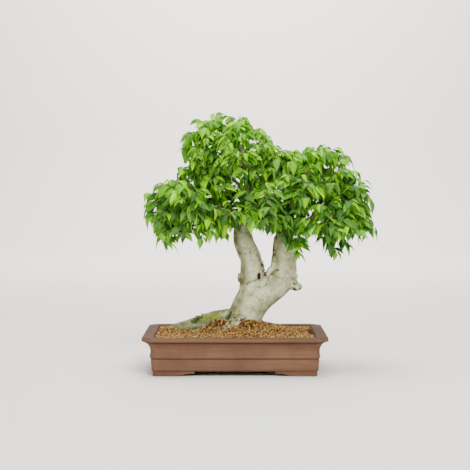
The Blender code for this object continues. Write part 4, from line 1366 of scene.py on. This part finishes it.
@dataclass
class Crown:
    """The leafy sprays: twigs that fork out from each branch's end, and their many leaves.

    The twigs, and the leaf at each one's end and side, are the CAD's own. More leaves stand
    between them along the same twigs.
    """

    offset: Vector
    plan: TreePlan = TreePlan()
    blade: LeafBlade = LeafBlade()
    bark: YoungWood = YoungWood()
    layers: tuple[Flat, ...] = ((1.0, 1.0), (0.52, 0.30))
    skin_depth: float = 0.12
    leaf_reach: Place = (0.014, 0.014, 0.010)
    shoot_lift: float = 0.010
    lowest_slope: float = -0.70
    core_fraction: float = 0.72
    shoot_spacing: float = 0.0418
    hub_length: float = 0.012
    gap: float = 0.0003
    bare_span: Flat = (-0.010, 0.125)
    bare_height: float = 0.350
    twig_radii: tuple[Flat, ...] = metres(((2.6, 1.8), (1.4, 1), (1.1, 0.8), (0.9, 0.6)))
    twig_clearance: float = 0.0025
    bud_spacing: float = 14 * MM
    crook: float = 1.0 * MM
    cube_share: float = 1.1
    first_sockets: tuple[float, ...] = (0.70, 0.85, 0.92, 1.0)
    sockets: tuple[float, ...] = (0.30, 0.56, 0.82)
    sockets_tried: int = 4
    backward_cost: float = 0.8
    leaf_length: Flat = (0.034, 0.050)
    leaf_width: float = 0.52
    droop: Flat = (0.45, 1.30)
    arch: float = 0.60
    roll: float = 0.55
    spread_at_end: float = 0.25
    spread_at_side: float = 1.15
    spread_draw: float = 0.35
    level_least: float = 0.2
    side_places: tuple[float, ...] = (0.43,)
    tries: int = 7
    tip_tolerance: float = 0.9 * MM
    # Where the CAD's blade bends, and the plain kite that stands in for a blade in tests
    cad_rows: tuple[float, ...] = (0.0, 0.32, 0.62, 1.0)
    kite: tuple[Flat, ...] = (
        (0.0, 0.0), (-0.22, 0.35), (0.22, 0.35), (-0.12, 0.7), (0.12, 0.7), (0.0, 1.0)
    )
    kite_rise: float = 0.07
    leaf_spacing: float = 5.2 * MM
    more_places: Flat = (0.12, 0.86)
    more_least: int = 3
    more_length: Flat = (0.022, 0.041)
    more_droop: Flat = (0.30, 1.45)
    more_roll: float = 0.9
    extra_tries: int = 6
    shoot_places: tuple[float, ...] = (0.22, 0.44, 0.66, 0.88)
    shoot_length: Flat = (0.022, 0.044)
    shoot_rise: Flat = (-0.2, 0.6)
    shoot_lean: Flat = (0.1, 0.9)
    shoot_tries: int = 4
    shoot_level: int = 3
    shoot_clearance: float = 1 * MM
    # A shoot whose foot is nearer to the wood than wood_near is tested only from wood_clear outward
    wood_near: float = 4 * MM
    wood_clear: float = 6 * MM
    filler_level: int = 2
    spur_spacing: float = 0.008
    spur_from: float = 0.30
    envelope: float = 1.08
    stand_proud: float = 0.006
    bare_drop: float = 0.022
    kinds: int = 8
    width_share: Flat = (0.78, 1.06)
    fold: Flat = (0.16, 0.42)
    curl: Flat = (0.30, 0.95)
    wave: Flat = (-0.020, 0.020)
    bend: Flat = (-0.05, 0.05)
    # How much of the fold the middle of each half takes, and how much its edge adds
    fold_shares: Flat = (0.45, 0.55)
    waves: float = 9.0
    curl_reach: float = 1.6
    top_from: float = 0.45
    top_reach: float = 0.08
    top_smaller: float = 0.27
    # The shares of leaves up to old and up to grown, and how they change outward and lower down
    age_shares: tuple[Place, Place] = ((0.30, -0.14, 0.26), (0.82, -0.14, 0.09))
    old_tones: Flat = (0.0, 0.20)
    grown_tones: Flat = (0.20, 0.60)
    young_tones: Flat = (0.72, 1.0)
    tone_drift: float = 0.12
    outer_from: float = 0.55
    shade_top: float = 0.52
    shade_reach: float = 0.12
    windows: tuple[tuple[float, float, float], ...] = metres((
        (-65.5, 427.5, 10), (194, 385, 11), (209, 362, 13), (229, 362, 12),
    ))
    fillers: tuple[tuple[int, Place, Place], ...] = (
        (2, (-0.098, 0.007, 0.401), (-0.146, 0.004, 0.466)),
        (2, (-0.09, 0.008, 0.402), (-0.118, 0.034, 0.474)),
        (2, (-0.095, 0.007, 0.4015), (-0.13, -0.034, 0.46)),
        (2, (-0.12, 0.002, 0.396), (-0.17, 0.02, 0.448)),
        (7, (-0.03, 0.021, 0.484), (-0.128, 0.012, 0.502)),
        (7, (-0.04, 0.02, 0.487), (-0.11, 0.042, 0.526)), (1, (0.202, 0.045, 0.515), (0.16, 0.036, 0.544)),
        (1, (0.201, 0.045, 0.514), (0.164, 0.062, 0.54)),
        (10, (0.0901, 0.015, 0.5396), (0.132, 0.006, 0.544)),
        (10, (0.0901, 0.015, 0.5396), (0.126, 0.034, 0.54)),
        (10, (0.0901, 0.015, 0.5396), (0.08, 0.01, 0.585)),
        (11, (-0.0514, 0.015, 0.5621), (-0.068, 0.012, 0.614)),
        (0, (0.0012, 0.03, 0.5864), (-0.042, 0.022, 0.623)),
        (12, (0.106, -0.012, 0.362), (0.142, -0.022, 0.32)),
        (12, (0.1, -0.026, 0.367), (0.114, -0.04, 0.33)),
        (12, (0.142, -0.022, 0.32), (0.158, -0.038, 0.29)),
        (14, (0.2436, -0.073, 0.3809), (0.234, -0.071, 0.312)),
    )
    blade_rows: tuple[Flat, ...] = (
        (0.00, 0.025), (0.07, 0.03), (0.13, 0.62), (0.27, 0.98), (0.45, 0.94), (0.65, 0.61), (0.84, 0.22),
        (1.00, 0.012),
    )
    blade_thickness: float = 0.010

    def build(self) -> list[Object]:
        """Grow and dress all sprays.

        Returns:
            One object for each spray, in its place.
        """
        wood = search_tree(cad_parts["trunk"])
        stubs = [(end + way * self.gap, hub) for end, way, hub in self.hubs()]
        cells: list[list[Vector]] = [[] for _stub in stubs]
        for point in self.shoot_points():
            distances = [(point - hub).length for _start, hub in stubs]
            cells[distances.index(min(distances))].append(point)
        masters = [self.leaf_master(kind) for kind in range(self.kinds)]
        leaf_finish, twig_finish = self.blade.material(), self.bark.material()
        sprays = []
        taken = LeafStore(self.cube_share * self.leaf_length[1])
        plans = []
        for number, (stub, points) in enumerate(zip(stubs, cells)):
            twigs = self.plan_twigs(stub, points, wood)
            plans.append((twigs, self.known_leaves(number, twigs, taken)))
        for number, (stub, (twigs, known)) in enumerate(zip(stubs, plans)):
            twigs = twigs + self.side_shoots(number, twigs, wood)
            stances = known + self.more_leaves(number, twigs, wood, taken)
            leaves = self.leaf_copies(number, stances).build("leaves", masters)
            coat(leaves, leaf_finish, True)
            wooden = self.twig_tubes(number, stub, twigs)
            coat(wooden, twig_finish, True)
            spray = join([leaves, wooden], f"leafy_spray_{number + 1:02d}")
            sprays.append(settle(spray, Vector()))
            LOG.info("spray %d: %d twigs, %d leaves", number + 1, len(twigs), len(stances))
        discard(masters)
        return sprays

    def shoot_points(self) -> list[Vector]:
        """Say where the shoots end, as the CAD does."""
        turn = math.pi * (3 - math.sqrt(5))
        points: list[Vector] = []
        for number, (centre, half_sizes, count) in enumerate(self.plan.lobes):
            others = [lobe for index, lobe in enumerate(self.plan.lobes) if index != number]
            for layer, share in self.layers:
                total = round(count * share)
                draw = random.Random(f"{SEED}-lobe-{number}-{layer}")
                for index in range(total):
                    rise = 1 - 2 * (index + 0.5) / total
                    depth = layer * (1 - self.skin_depth * draw.random())
                    if rise < self.lowest_slope:
                        continue
                    across = math.sqrt(1 - rise * rise)
                    way = (across * math.cos(index * turn), across * math.sin(index * turn), rise)
                    point = Vector(
                        [centre[i] + way[i] * (half_sizes[i] - self.leaf_reach[i]) * depth for i in range(3)]
                    )
                    point.z += self.shoot_lift
                    if self.is_bare(point + self.offset):
                        continue
                    if layer == 1.0 and any(self.depth(point, lobe) < self.core_fraction for lobe in others):
                        continue
                    if all((point - other).length > self.shoot_spacing for other in points):
                        points.append(point)
        return [point + self.offset for point in points]

    def depth(self, point: Vector, lobe: Lobe) -> float:
        """Say how far out a point is in a lobe: 0 in its middle, 1 on its skin."""
        return math.sqrt(sum(((point[i] - lobe[0][i]) / lobe[1][i]) ** 2 for i in range(3)))

    def depth_in_crown(self, point: Vector) -> float:
        """Say how far out a point is in the lobe that it is deepest in."""
        return min(self.depth(point - self.offset, lobe) for lobe in self.plan.lobes)

    def hubs(self) -> list[tuple[Vector, Vector, Vector]]:
        """Say where each branch ends, its way there, and the hub of its spray."""
        found = []
        for route, _thick, _thin in self.plan.branches:
            end = Vector(route[-1]) + self.offset
            way = (Vector(route[-1]) - Vector(route[-2])).normalized()
            found.append((end, way, end + way * self.hub_length))
        return found

    def plan_twigs(
        self, first: tuple[Vector, Vector], points: Sequence[Vector], wood: BVHTree
    ) -> list[Twig]:
        """Grow a spray from its first twig, as the CAD does.

        Args:
            first: Start and end of the first twig.
            points: Where the spray's shoots end.
            wood: Search tree of the thick wood, which twigs go round.

        Returns:
            Start, end and level of each twig.
        """
        twigs: list[Twig] = []
        sockets = [(first[0].lerp(first[1], place), first[1] - first[0], 1) for place in self.first_sockets]
        for point in sorted(points, key=lambda place: (place - first[1]).length):

            def cost(socket: Twig, point: Vector = point) -> float:
                """Weigh how far and how sharply back a twig from a socket would go."""
                way = point - socket[0]
                back = 1 - way.normalized().dot(socket[1].normalized())
                return way.length * (1 + self.backward_cost * back)

            for socket in sorted(sockets, key=cost)[: self.sockets_tried]:
                base, _way, level = socket
                if self.block((base, point), self.twig_clearance).overlap(wood):
                    continue
                twigs.append((base, point, level))
                sockets.remove(socket)
                deeper = min(level + 1, len(self.twig_radii) - 1)
                sockets += [(base.lerp(point, place), point - base, deeper) for place in self.sockets]
                break
        return twigs

    def block(self, twig: tuple[Vector, Vector], radius: float) -> BVHTree:
        """Make the search tree of a square bar along a twig."""
        start, end = twig
        way = (end - start).normalized()
        side = way.orthogonal()
        across = (side - way * side.dot(way)).normalized() * radius
        over = (across.cross(way)).normalized() * radius
        ring = [across + over, over - across, -across - over, across - over]
        places = [foot + step for foot in (start, end) for step in ring]
        faces = [(i, (i + 1) % 4, 4 + (i + 1) % 4, 4 + i) for i in range(4)] + [(3, 2, 1, 0), (4, 5, 6, 7)]
        return BVHTree.FromPolygons(places, faces)

    def draw_stance(
        self, key: str, start: Vector, end: Vector, place: float, side: int, more: bool = False
    ) -> Stance:
        """Draw how a leaf hangs at a place along a twig.

        Args:
            key: Seed of the draw.
            start: Start of the twig.
            end: End of the twig.
            place: How far out along the twig the leaf is.
            side: 1 or -1 for the side that it goes off to.
            more: Whether it is one of the leaves that the CAD doesn't have, which vary more.

        Returns:
            The stance, just as the CAD draws it unless it is one more leaf.
        """
        draw = random.Random(key)
        along = (end - start).normalized()
        level = Vector((along.x, along.y, 0.0))
        if level.length < self.level_least:
            angle = draw.uniform(0, 2 * math.pi)
            level = Vector((math.cos(angle), math.sin(angle), 0.0))
        level.normalize()
        sideways = Vector((-level.y, level.x, 0.0)) * side
        spread = self.spread_at_end if place == 1.0 else self.spread_at_side
        spread += draw.uniform(-self.spread_draw, self.spread_draw)
        heading = (level + sideways * spread).normalized()
        droop = draw.uniform(*(self.more_droop if more else self.droop))
        most_roll = self.more_roll if more else self.roll
        roll = draw.uniform(-most_roll, most_roll)
        length = draw.uniform(*(self.more_length if more else self.leaf_length))
        if more:
            length *= 1 - self.top_smaller * clamp((start.z - self.top_from) / self.top_reach)
        return Stance(start.lerp(end, place), heading, droop, roll, length)

    def tip(self, stance: Stance) -> Vector:
        """Say where the tip of the CAD's leaf is for a stance."""
        spot = stance.base.copy()
        reached = 0.0
        for along in self.cad_rows:
            pitch = stance.droop + self.arch * (along - 0.5)
            forward = stance.heading * math.cos(pitch) - Vector((0, 0, math.sin(pitch)))
            spot += forward * (along - reached) * stance.length
            reached = along
        return spot

    def side_shoots(self, number: int, twigs: Sequence[Twig], wood: BVHTree) -> list[Twig]:
        """Grow short shoots from the sides of a spray's twigs and of its branch.

        Args:
            number: Index of the spray.
            twigs: The spray's twigs.
            wood: Search tree of the thick wood.

        Returns:
            Start, end and level of each shoot.
        """
        draw = random.Random(f"{SEED}-shoots-{number}")
        shoots = [
            (Vector(start) + self.offset, Vector(end) + self.offset, self.filler_level)
            for spray, start, end in self.fillers
            if spray == number
        ]
        feet = [
            (start.lerp(end, place), (end - start).normalized())
            for start, end, _level in [*twigs, *shoots]
            for place in self.shoot_places
        ]
        for foot, way in feet + self.spur_feet(number):
            for _attempt in range(self.shoot_tries):
                turn = Vector([draw.gauss(0, 1) for _axis in range(3)])
                turn = (turn - way * turn.dot(way)).normalized()
                lift = Vector((0, 0, draw.uniform(*self.shoot_rise)))
                heading = (way * draw.uniform(*self.shoot_lean) + turn + lift).normalized()
                end = foot + heading * draw.uniform(*self.shoot_length)
                if self.depth_in_crown(end) > self.envelope or self.is_bare(end):
                    continue
                on_wood = wood.find_nearest(foot)[3] < self.wood_near
                begin = foot + heading * (self.wood_clear if on_wood else 0.0)
                if self.block((begin, end), self.shoot_clearance).overlap(wood):
                    continue
                shoots.append((foot, end, self.shoot_level))
                break
        return shoots

    def spur_feet(self, number: int) -> list[tuple[Vector, Vector]]:
        """Say where spurs can grow from a spray's branch, and which way the branch runs there."""
        route = [Vector(point) + self.offset for point in self.plan.branches[number][0]]
        length = sum((after - before).length for before, after in zip(route, route[1:]))
        total = int(length / self.spur_spacing)
        feet = []
        for index in range(total):
            at = (self.spur_from + (1 - self.spur_from) * (index + 0.5) / total) * (len(route) - 1)
            before, after = route[int(at)], route[min(int(at) + 1, len(route) - 1)]
            feet.append((before.lerp(after, at - int(at)), (after - before).normalized()))
        return feet

    def is_bare(self, point: Vector) -> bool:
        """Tell whether a point is in front of or among the bare stems below the crown."""
        place = point - self.offset
        return self.bare_span[0] < place.x < self.bare_span[1] and place.z < self.bare_height

    def in_window(self, point: Vector) -> bool:
        """Tell whether a point is in one of the gaps that one sees through the crown."""
        place = point - self.offset
        return any(math.hypot(place.x - x, place.z - z) < radius for x, z, radius in self.windows)

    def known_leaves(
        self, number: int, twigs: Sequence[Twig], taken: LeafStore
    ) -> list[tuple[Stance, float]]:
        """Find the stances of the leaves that the CAD spray has.

        Args:
            number: Index of the spray.
            twigs: The spray's twigs.
            taken: Where leaves are, which gets the found ones too.

        Returns:
            Each leaf's stance and how far out on its twig it is.
        """
        places = corners(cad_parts[f"spray_{number + 1:02d}"])
        tree = KDTree(len(places))
        for index, place in enumerate(places):
            tree.insert(place, index)
        tree.balance()
        found = []
        for count, (start, end, _level) in enumerate(twigs):
            turn = 1 if count % 2 else -1
            wanted = [(f"{SEED}-{number}-{count}-end", 1.0, turn)]
            for row, place in enumerate(self.side_places):
                wanted.append((f"{SEED}-{number}-{count}-{row}", place, turn if row % 2 else -turn))
            for key, place, side in wanted:
                for attempt in range(self.tries):
                    stance = self.draw_stance(f"{key}-{attempt}", start, end, place, side)
                    if tree.find(self.tip(stance))[2] < self.tip_tolerance:
                        found.append((stance, place))
                        taken.add(stance.base, self.leaf_block(stance))
                        break
        return found

    def frame_of(self, stance: Stance) -> np.ndarray:
        """Give a leaf's own axes: across the blade, along it and out of its upper face."""
        up = Vector((0, 0, 1))
        forward = stance.heading * math.cos(stance.droop) - up * math.sin(stance.droop)
        face = stance.heading * math.sin(stance.droop) + up * math.cos(stance.droop)
        side = stance.heading.cross(up)
        across = side * math.cos(stance.roll) + face * math.sin(stance.roll)
        outward = face * math.cos(stance.roll) - side * math.sin(stance.roll)
        return np.array([across, forward, outward]).T

    def leaf_block(self, stance: Stance) -> BVHTree:
        """Make the search tree of a leaf's blade, as a plain kite."""
        axes = self.frame_of(stance) * stance.length
        places = [
            Vector(axes @ np.array([x, y, self.kite_rise * math.sin(math.pi * y)])) + stance.base
            for x, y in self.kite
        ]
        return BVHTree.FromPolygons(places, [(0, 2, 1), (1, 2, 4, 3), (3, 4, 5)])

    def more_leaves(
        self, number: int, twigs: Sequence[Twig], wood: BVHTree, taken: LeafStore
    ) -> list[tuple[Stance, float]]:
        """Put more leaves along the twigs, clear of the wood and of the other leaves.

        Args:
            number: Index of the spray.
            twigs: The spray's twigs.
            wood: Search tree of the thick wood.
            taken: Where leaves are, which gets the new ones too.

        Returns:
            Each leaf's stance and how far out on its twig it is.
        """
        found = []
        first, span = self.more_places
        for count, (start, end, _level) in enumerate(twigs):
            total = max(self.more_least, round((end - start).length / self.leaf_spacing))
            for row in range(total + 1):
                place = first + span * row / total
                side = 1 if row % 2 else -1
                for attempt in range(self.extra_tries):
                    key = f"{SEED}-more-{number}-{count}-{row}-{attempt}"
                    stance = self.draw_stance(key, start, end, place, side, True)
                    if not self.is_welcome(stance):
                        continue
                    trial = self.leaf_block(stance)
                    if trial.overlap(wood) or not taken.is_clear(stance.base, trial):
                        continue
                    taken.add(stance.base, trial)
                    found.append((stance, place))
                    break
        return found

    def is_welcome(self, stance: Stance) -> bool:
        """Tell whether a leaf stays out of the crown's gaps, off the bare stems and near the CAD's box."""
        tip = self.tip(stance)
        (low, high), proud = CAD_BOX, self.stand_proud
        in_box = all(low[i] - proud < tip[i] < high[i] + proud for i in range(3))
        over_stems = self.is_bare(tip + Vector((0, 0, self.bare_drop)))
        return in_box and not over_stems and not self.in_window(stance.base.lerp(tip, 0.5))

    def leaf_master(self, kind: int) -> Object:
        """Model a leaf a unit long, from its stalk's foot at the origin to its tip along Y.

        Args:
            kind: Which of the few leaves to make: they differ in fold, wave and curl.

        Returns:
            The leaf, with a map that runs across and along the blade.
        """
        draw = random.Random(f"{SEED}-leaf-{kind}")
        width = self.leaf_width * draw.uniform(*self.width_share)
        fold, curl = draw.uniform(*self.fold), draw.uniform(*self.curl)
        wave, bend = draw.uniform(*self.wave), draw.uniform(*self.bend)
        deselect_all()
        rows = len(self.blade_rows) - 1
        bpy.ops.mesh.primitive_grid_add(
            x_subdivisions=2, y_subdivisions=rows, size=1.0, location=(0, 0.5, 0), calc_uvs=True
        )
        leaf = name_active("leaf")
        bpy.ops.object.transform_apply()
        edit()
        lines = [index / rows for index in range(rows + 1)]
        row_slack = 0.01

        def pick_row(least: float, flat: bool = True) -> None:
            """Pick the corners of a row that are this far from the midrib, or only the flat ones."""
            pick(
                Part.VERTEX,
                lambda vertex: abs(vertex.co.y - line) < row_slack
                and abs(vertex.co.x) > least
                and (not flat or abs(vertex.co.z) < 1e-6),
            )

        for line, (along, wide) in reversed(list(zip(lines, self.blade_rows))):
            half = wide * width / 2
            pick_row(-1.0)
            stretch((half / 0.5, 1, 1), (0, line, 0))
            pick_row(half * 0.3)
            move((0, 0, half * fold * self.fold_shares[0]))
            pick_row(half * 0.8, False)
            move((0, 0, half * fold * self.fold_shares[1] + wave * math.sin(self.waves * along) * wide))
        leave_edit()
        places = corners(leaf)
        shaped = np.zeros_like(places)
        spot, reached = Vector(), 0.0
        for line, (along, _wide) in zip(lines, self.blade_rows):
            pitch = self.arch * curl * self.curl_reach * (along - 0.5)
            spot += Vector((math.sin(bend * along), math.cos(pitch), -math.sin(pitch))) * (along - reached)
            reached = along
            chosen = np.abs(places[:, 1] - line) < row_slack
            axes = np.array([(1.0, 0.0, 0.0), (0.0, math.sin(pitch), math.cos(pitch))])
            shaped[chosen] = np.array(spot) + places[chosen][:, (0, 2)] @ axes
        set_corners(leaf, shaped)
        add_modifier(leaf, "SOLIDIFY", thickness=self.blade_thickness, offset=0.0)
        return leaf

    def leaf_copies(self, number: int, stances: Sequence[tuple[Stance, float]]) -> Copies:
        """Place a copy of a leaf for each stance.

        Args:
            number: Index of the spray.
            stances: Each leaf's stance and how far out on its twig it is.

        Returns:
            The copies, with a tone that is young at the shoots' ends and old and dark inside and low down;
            the darkening inside and low down is partly painted shade.
        """
        draw = random.Random(f"{SEED}-tone-{number}")
        copies = Copies()
        for stance, place in stances:
            # Leaves deep in the crown and low in it are darker: partly older leaves, partly painted shade
            outer = clamp((self.depth_in_crown(stance.base) - self.outer_from) / (1 - self.outer_from))
            low = clamp((self.shade_top - stance.base.z) / self.shade_reach)
            chance = draw.random()
            old, grown = (share + far * outer + deep * low for share, far, deep in self.age_shares)
            if chance < old:
                fresh = draw.uniform(*self.old_tones)
            elif chance < grown:
                fresh = draw.uniform(*self.grown_tones) + self.tone_drift * (place - low)
            else:
                fresh = draw.uniform(*self.young_tones)
            turn = self.frame_of(stance) * stance.length
            copies.add(draw.randrange(self.kinds), turn, stance.base, min(fresh, 1.0))
        return copies

    def twig_tubes(self, number: int, stub: tuple[Vector, Vector], twigs: Sequence[Twig]) -> Object:
        """Model a spray's twigs, each slightly crooked as it grew from bud to bud.

        Args:
            number: Index of the spray.
            stub: Start and end of the first twig.
            twigs: Start, end and level of the others.

        Returns:
            One object with all the twigs.
        """
        draw = random.Random(f"{SEED}-twig-{number}")
        routes = []
        for start, end, level in [(*stub, 0), *twigs]:
            thick, thin = self.twig_radii[level]
            steps = max(2, round((end - start).length / self.bud_spacing))
            side = (end - start).orthogonal().normalized()
            over = side.cross(end - start).normalized()
            route = []
            for step in range(steps + 1):
                share = step / steps
                stray = 0.0 if step in (0, steps) else self.crook
                place = start.lerp(end, share)
                place += side * draw.uniform(-stray, stray) + over * draw.uniform(-stray, stray)
                route.append((*place, thick + (thin - thick) * share))
            routes.append(route)
        return tubes("twigs", routes, 1)


@dataclass
class MossTufts:
    """Cushions of moss along the long root, and darker tufts of weed on it and beside it.

    A patch is its middle, how far it reaches, its number of tufts, its tone and their height.
    """

    offset: Vector
    finish: Moss = Moss()
    patches: tuple[tuple[Place, Place, int, float, float], ...] = (
        ((-0.064, 0.024, 0.2), (0.022, 0.007, 0.0), 200, 0.85, 2.2 * MM),
        ((-0.062, 0.027, 0.2), (0.032, 0.014, 0.0), 240, 0.45, 1.8 * MM),
        ((-0.07, 0.014, 0.2), (0.03, 0.006, 0.0), 190, 0.2, 2.4 * MM),
        ((-0.096, 0.03, 0.2), (0.012, 0.012, 0.0), 110, 0.15, 5.0 * MM),
        ((-0.098, 0.018, 0.2), (0.008, 0.008, 0.0), 26, 0.3, 8.0 * MM),
        ((-0.0605, 0.0, 0.2), (0.006, 0.006, 0.0), 26, 0.4, 7.0 * MM),
        ((-0.015, 0.014, 0.2), (0.008, 0.006, 0.0), 90, 0.1, 4.0 * MM),
        ((-0.03, 0.034, 0.2), (0.022, 0.014, 0.0), 150, 0.35, 1.8 * MM),
    )
    blades: int = 6
    blade_turn: float = 2.4
    blade_radius: float = 0.30
    vary: Flat = (0.6, 1.3)
    lowest: float = 0.085
    full_turn: float = 6.28
    tone_spread: Flat = (-0.3, 0.2)

    def tuft(self) -> Object:
        """Model a tuft: a few blades that spread from one foot, a unit high."""
        deselect_all()
        spikes = []
        for index in range(self.blades):
            angle = index * self.blade_turn
            bpy.ops.mesh.primitive_cone_add(
                vertices=3, radius1=self.blade_radius, radius2=0.0, depth=1.0, location=(0, 0, 0.5)
            )
            spike = name_active("spike")
            bpy.ops.object.transform_apply()
            lean = 0.25 + 0.45 * (index % 3) / 2
            edit()
            pick(Part.VERTEX, lambda vertex: vertex.co.z > 0.9)
            move((math.cos(angle) * lean, math.sin(angle) * lean, -0.2 * lean))
            leave_edit()
            spikes.append(spike)
        return join(spikes, "tuft")

    def build(self, wood: Object) -> Object:
        """Plant the tufts on the wood and the soil.

        Args:
            wood: The finished wood.

        Returns:
            The moss, in its place.
        """
        draw = random.Random(f"{SEED}-moss")
        grounds = [search_tree(wood), search_tree(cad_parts["soil"])]
        copies = Copies()
        for centre, reach, count, fresh, height in self.patches:
            for _tuft in range(count):
                spot = Vector([c + r * draw.gauss(0, 0.5) for c, r in zip(centre, reach)]) + self.offset
                hits = [ground.ray_cast(spot, DOWN) for ground in grounds]
                hits = [hit for hit in hits if hit[0] is not None and hit[0].z > self.lowest]
                if not hits:
                    continue
                place, way = max(hits, key=lambda hit: hit[0].z)[:2]
                spin = Matrix.Rotation(draw.uniform(0, self.full_turn), 3, "Z")
                turn = way.to_track_quat("Z", "Y").to_matrix() @ spin
                tone = clamp(fresh + draw.uniform(*self.tone_spread))
                copies.add(0, np.array(turn) * height * draw.uniform(*self.vary), place, tone)
        tuft = self.tuft()
        moss = copies.build("moss_tufts", [tuft])
        discard([tuft])
        coat(moss, self.finish.material())
        return moss


@dataclass
class Studio:
    """Pale floor that curves up into a backdrop, soft lamps, and the camera of the photograph."""

    offset: Vector
    finish: Backdrop = Backdrop()
    floor_half: float = 9.0
    floor_back: float = 5.0
    wall_height: float = 4.0
    cove_radius: float = 0.8
    cove_steps: int = 10
    camera_distance: float = 3.12
    camera_height: float = 0.47
    camera_tilt: float = -2.476
    lens: float = 95.6
    world_colour: str = "#f3f0ea"
    world_strength: float = 0.72
    lamps: tuple[tuple[str, Place, Place, float, float], ...] = (
        ("key", (0.7, -2.5, 2.3), (0, 0, 0.32), 1.3, 110.0),
        ("fill", (-2.0, -2.2, 1.2), (0, 0, 0.32), 1.6, 26.0),
        ("top", (-0.1, 0.2, 2.4), (0, 0, 0.32), 1.6, 62.0),
        ("backdrop", (0.0, 3.4, 3.6), (0, 5.8, 0.6), 2.4, 330.0),
    )

    def build(self) -> None:
        """Set up the stage, the lamps and the camera."""
        self.add_camera()
        self.add_floor()
        for name, place, aim, size, power in self.lamps:
            deselect_all()
            bpy.ops.object.light_add(type="AREA", location=place)
            lamp = name_active(name)
            lamp.data.shape = "DISK"
            lamp.data.size = size
            lamp.data.energy = power
            lamp.rotation_euler = (Vector(aim) - Vector(place)).to_track_quat("-Z", "Y").to_euler()
        world = bpy.data.worlds.new("studio")
        world.use_nodes = True
        world.node_tree.nodes["Background"].inputs["Color"].default_value = linear(self.world_colour)
        world.node_tree.nodes["Background"].inputs["Strength"].default_value = self.world_strength
        bpy.context.scene.world = world

    def add_camera(self) -> None:
        """Put the camera where the photograph was taken from."""
        deselect_all()
        place = (self.offset.x, self.offset.y - self.camera_distance, self.camera_height)
        bpy.ops.object.camera_add(location=place, rotation=(math.radians(90 + self.camera_tilt), 0, 0))
        camera = name_active("photo_camera")
        camera.data.lens = self.lens
        camera.data.sensor_width = 36.0
        bpy.context.scene.camera = camera

    def add_floor(self) -> None:
        """Add the floor, and turn its back edge up in a cove."""
        deselect_all()
        bpy.ops.mesh.primitive_plane_add(size=2.0)
        floor = name_active("studio_floor")
        edit()
        bpy.ops.mesh.select_all(action="SELECT")
        stretch((self.floor_half, self.floor_half, 1), (0, 0, 0))
        pick(Part.VERTEX, lambda vertex: vertex.co.y > 0)
        move((0, self.floor_back - self.floor_half, 0))
        pick(Part.EDGE, lambda edge: min(vertex.co.y for vertex in edge.verts) > self.floor_back - 0.01)
        for step in range(self.cove_steps):
            angle = math.pi / 2 * (step + 0.5) / self.cove_steps
            length = self.cove_radius * math.pi / 2 / self.cove_steps
            rise = (0, math.cos(angle) * length, math.sin(angle) * length)
            bpy.ops.mesh.extrude_region_move(TRANSFORM_OT_translate={"value": rise})
        bpy.ops.mesh.extrude_region_move(TRANSFORM_OT_translate={"value": (0, 0, self.wall_height)})
        leave_edit()
        coat(floor, self.finish.material(), True)


def dress(piece: Object, node: str | None = None) -> None:
    """Tell the frame what a finished piece is.

    Args:
        piece: The piece.
        node: The CAD node that it stands for, if any.
    """
    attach(piece, BODY)
    if node is not None:
        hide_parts(node)
    LOG.info("%s: %d faces", piece.name, len(piece.data.polygons))


def repaint(node: str, material: Material) -> None:
    """Give a CAD node that stays a finer material."""
    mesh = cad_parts[node].data
    mesh.materials.clear()
    mesh.materials.append(material)
    LOG.info("%s: kept from the CAD", node)


def main() -> None:
    """Build each piece of the bonsai and dress it, which logs its number of faces."""
    logging.basicConfig(level=logging.INFO, format="%(message)s")
    low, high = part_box("pot")
    offset = Vector(((low.x + high.x) / 2, (low.y + high.y) / 2, 0.0))
    Studio(offset).build()
    dress(ClayPot(offset).build(), "pot")
    netting = ScreenPlastic().material()
    for node in ("drain_screen_left", "drain_screen_right"):
        repaint(node, netting)
    repaint("soil", BakedClay("damp_clay_crumb", "#2b1a0c", "#4a3016", "#6b4822").material())
    dress(SoilGrains(offset).build())
    wood = Wood(offset).build()
    dress(wood, "trunk")
    dress(MossTufts(offset).build(wood))
    for number, spray in enumerate(Crown(offset).build()):
        dress(spray, f"spray_{number + 1:02d}")


if __name__ == "__main__":
    main()
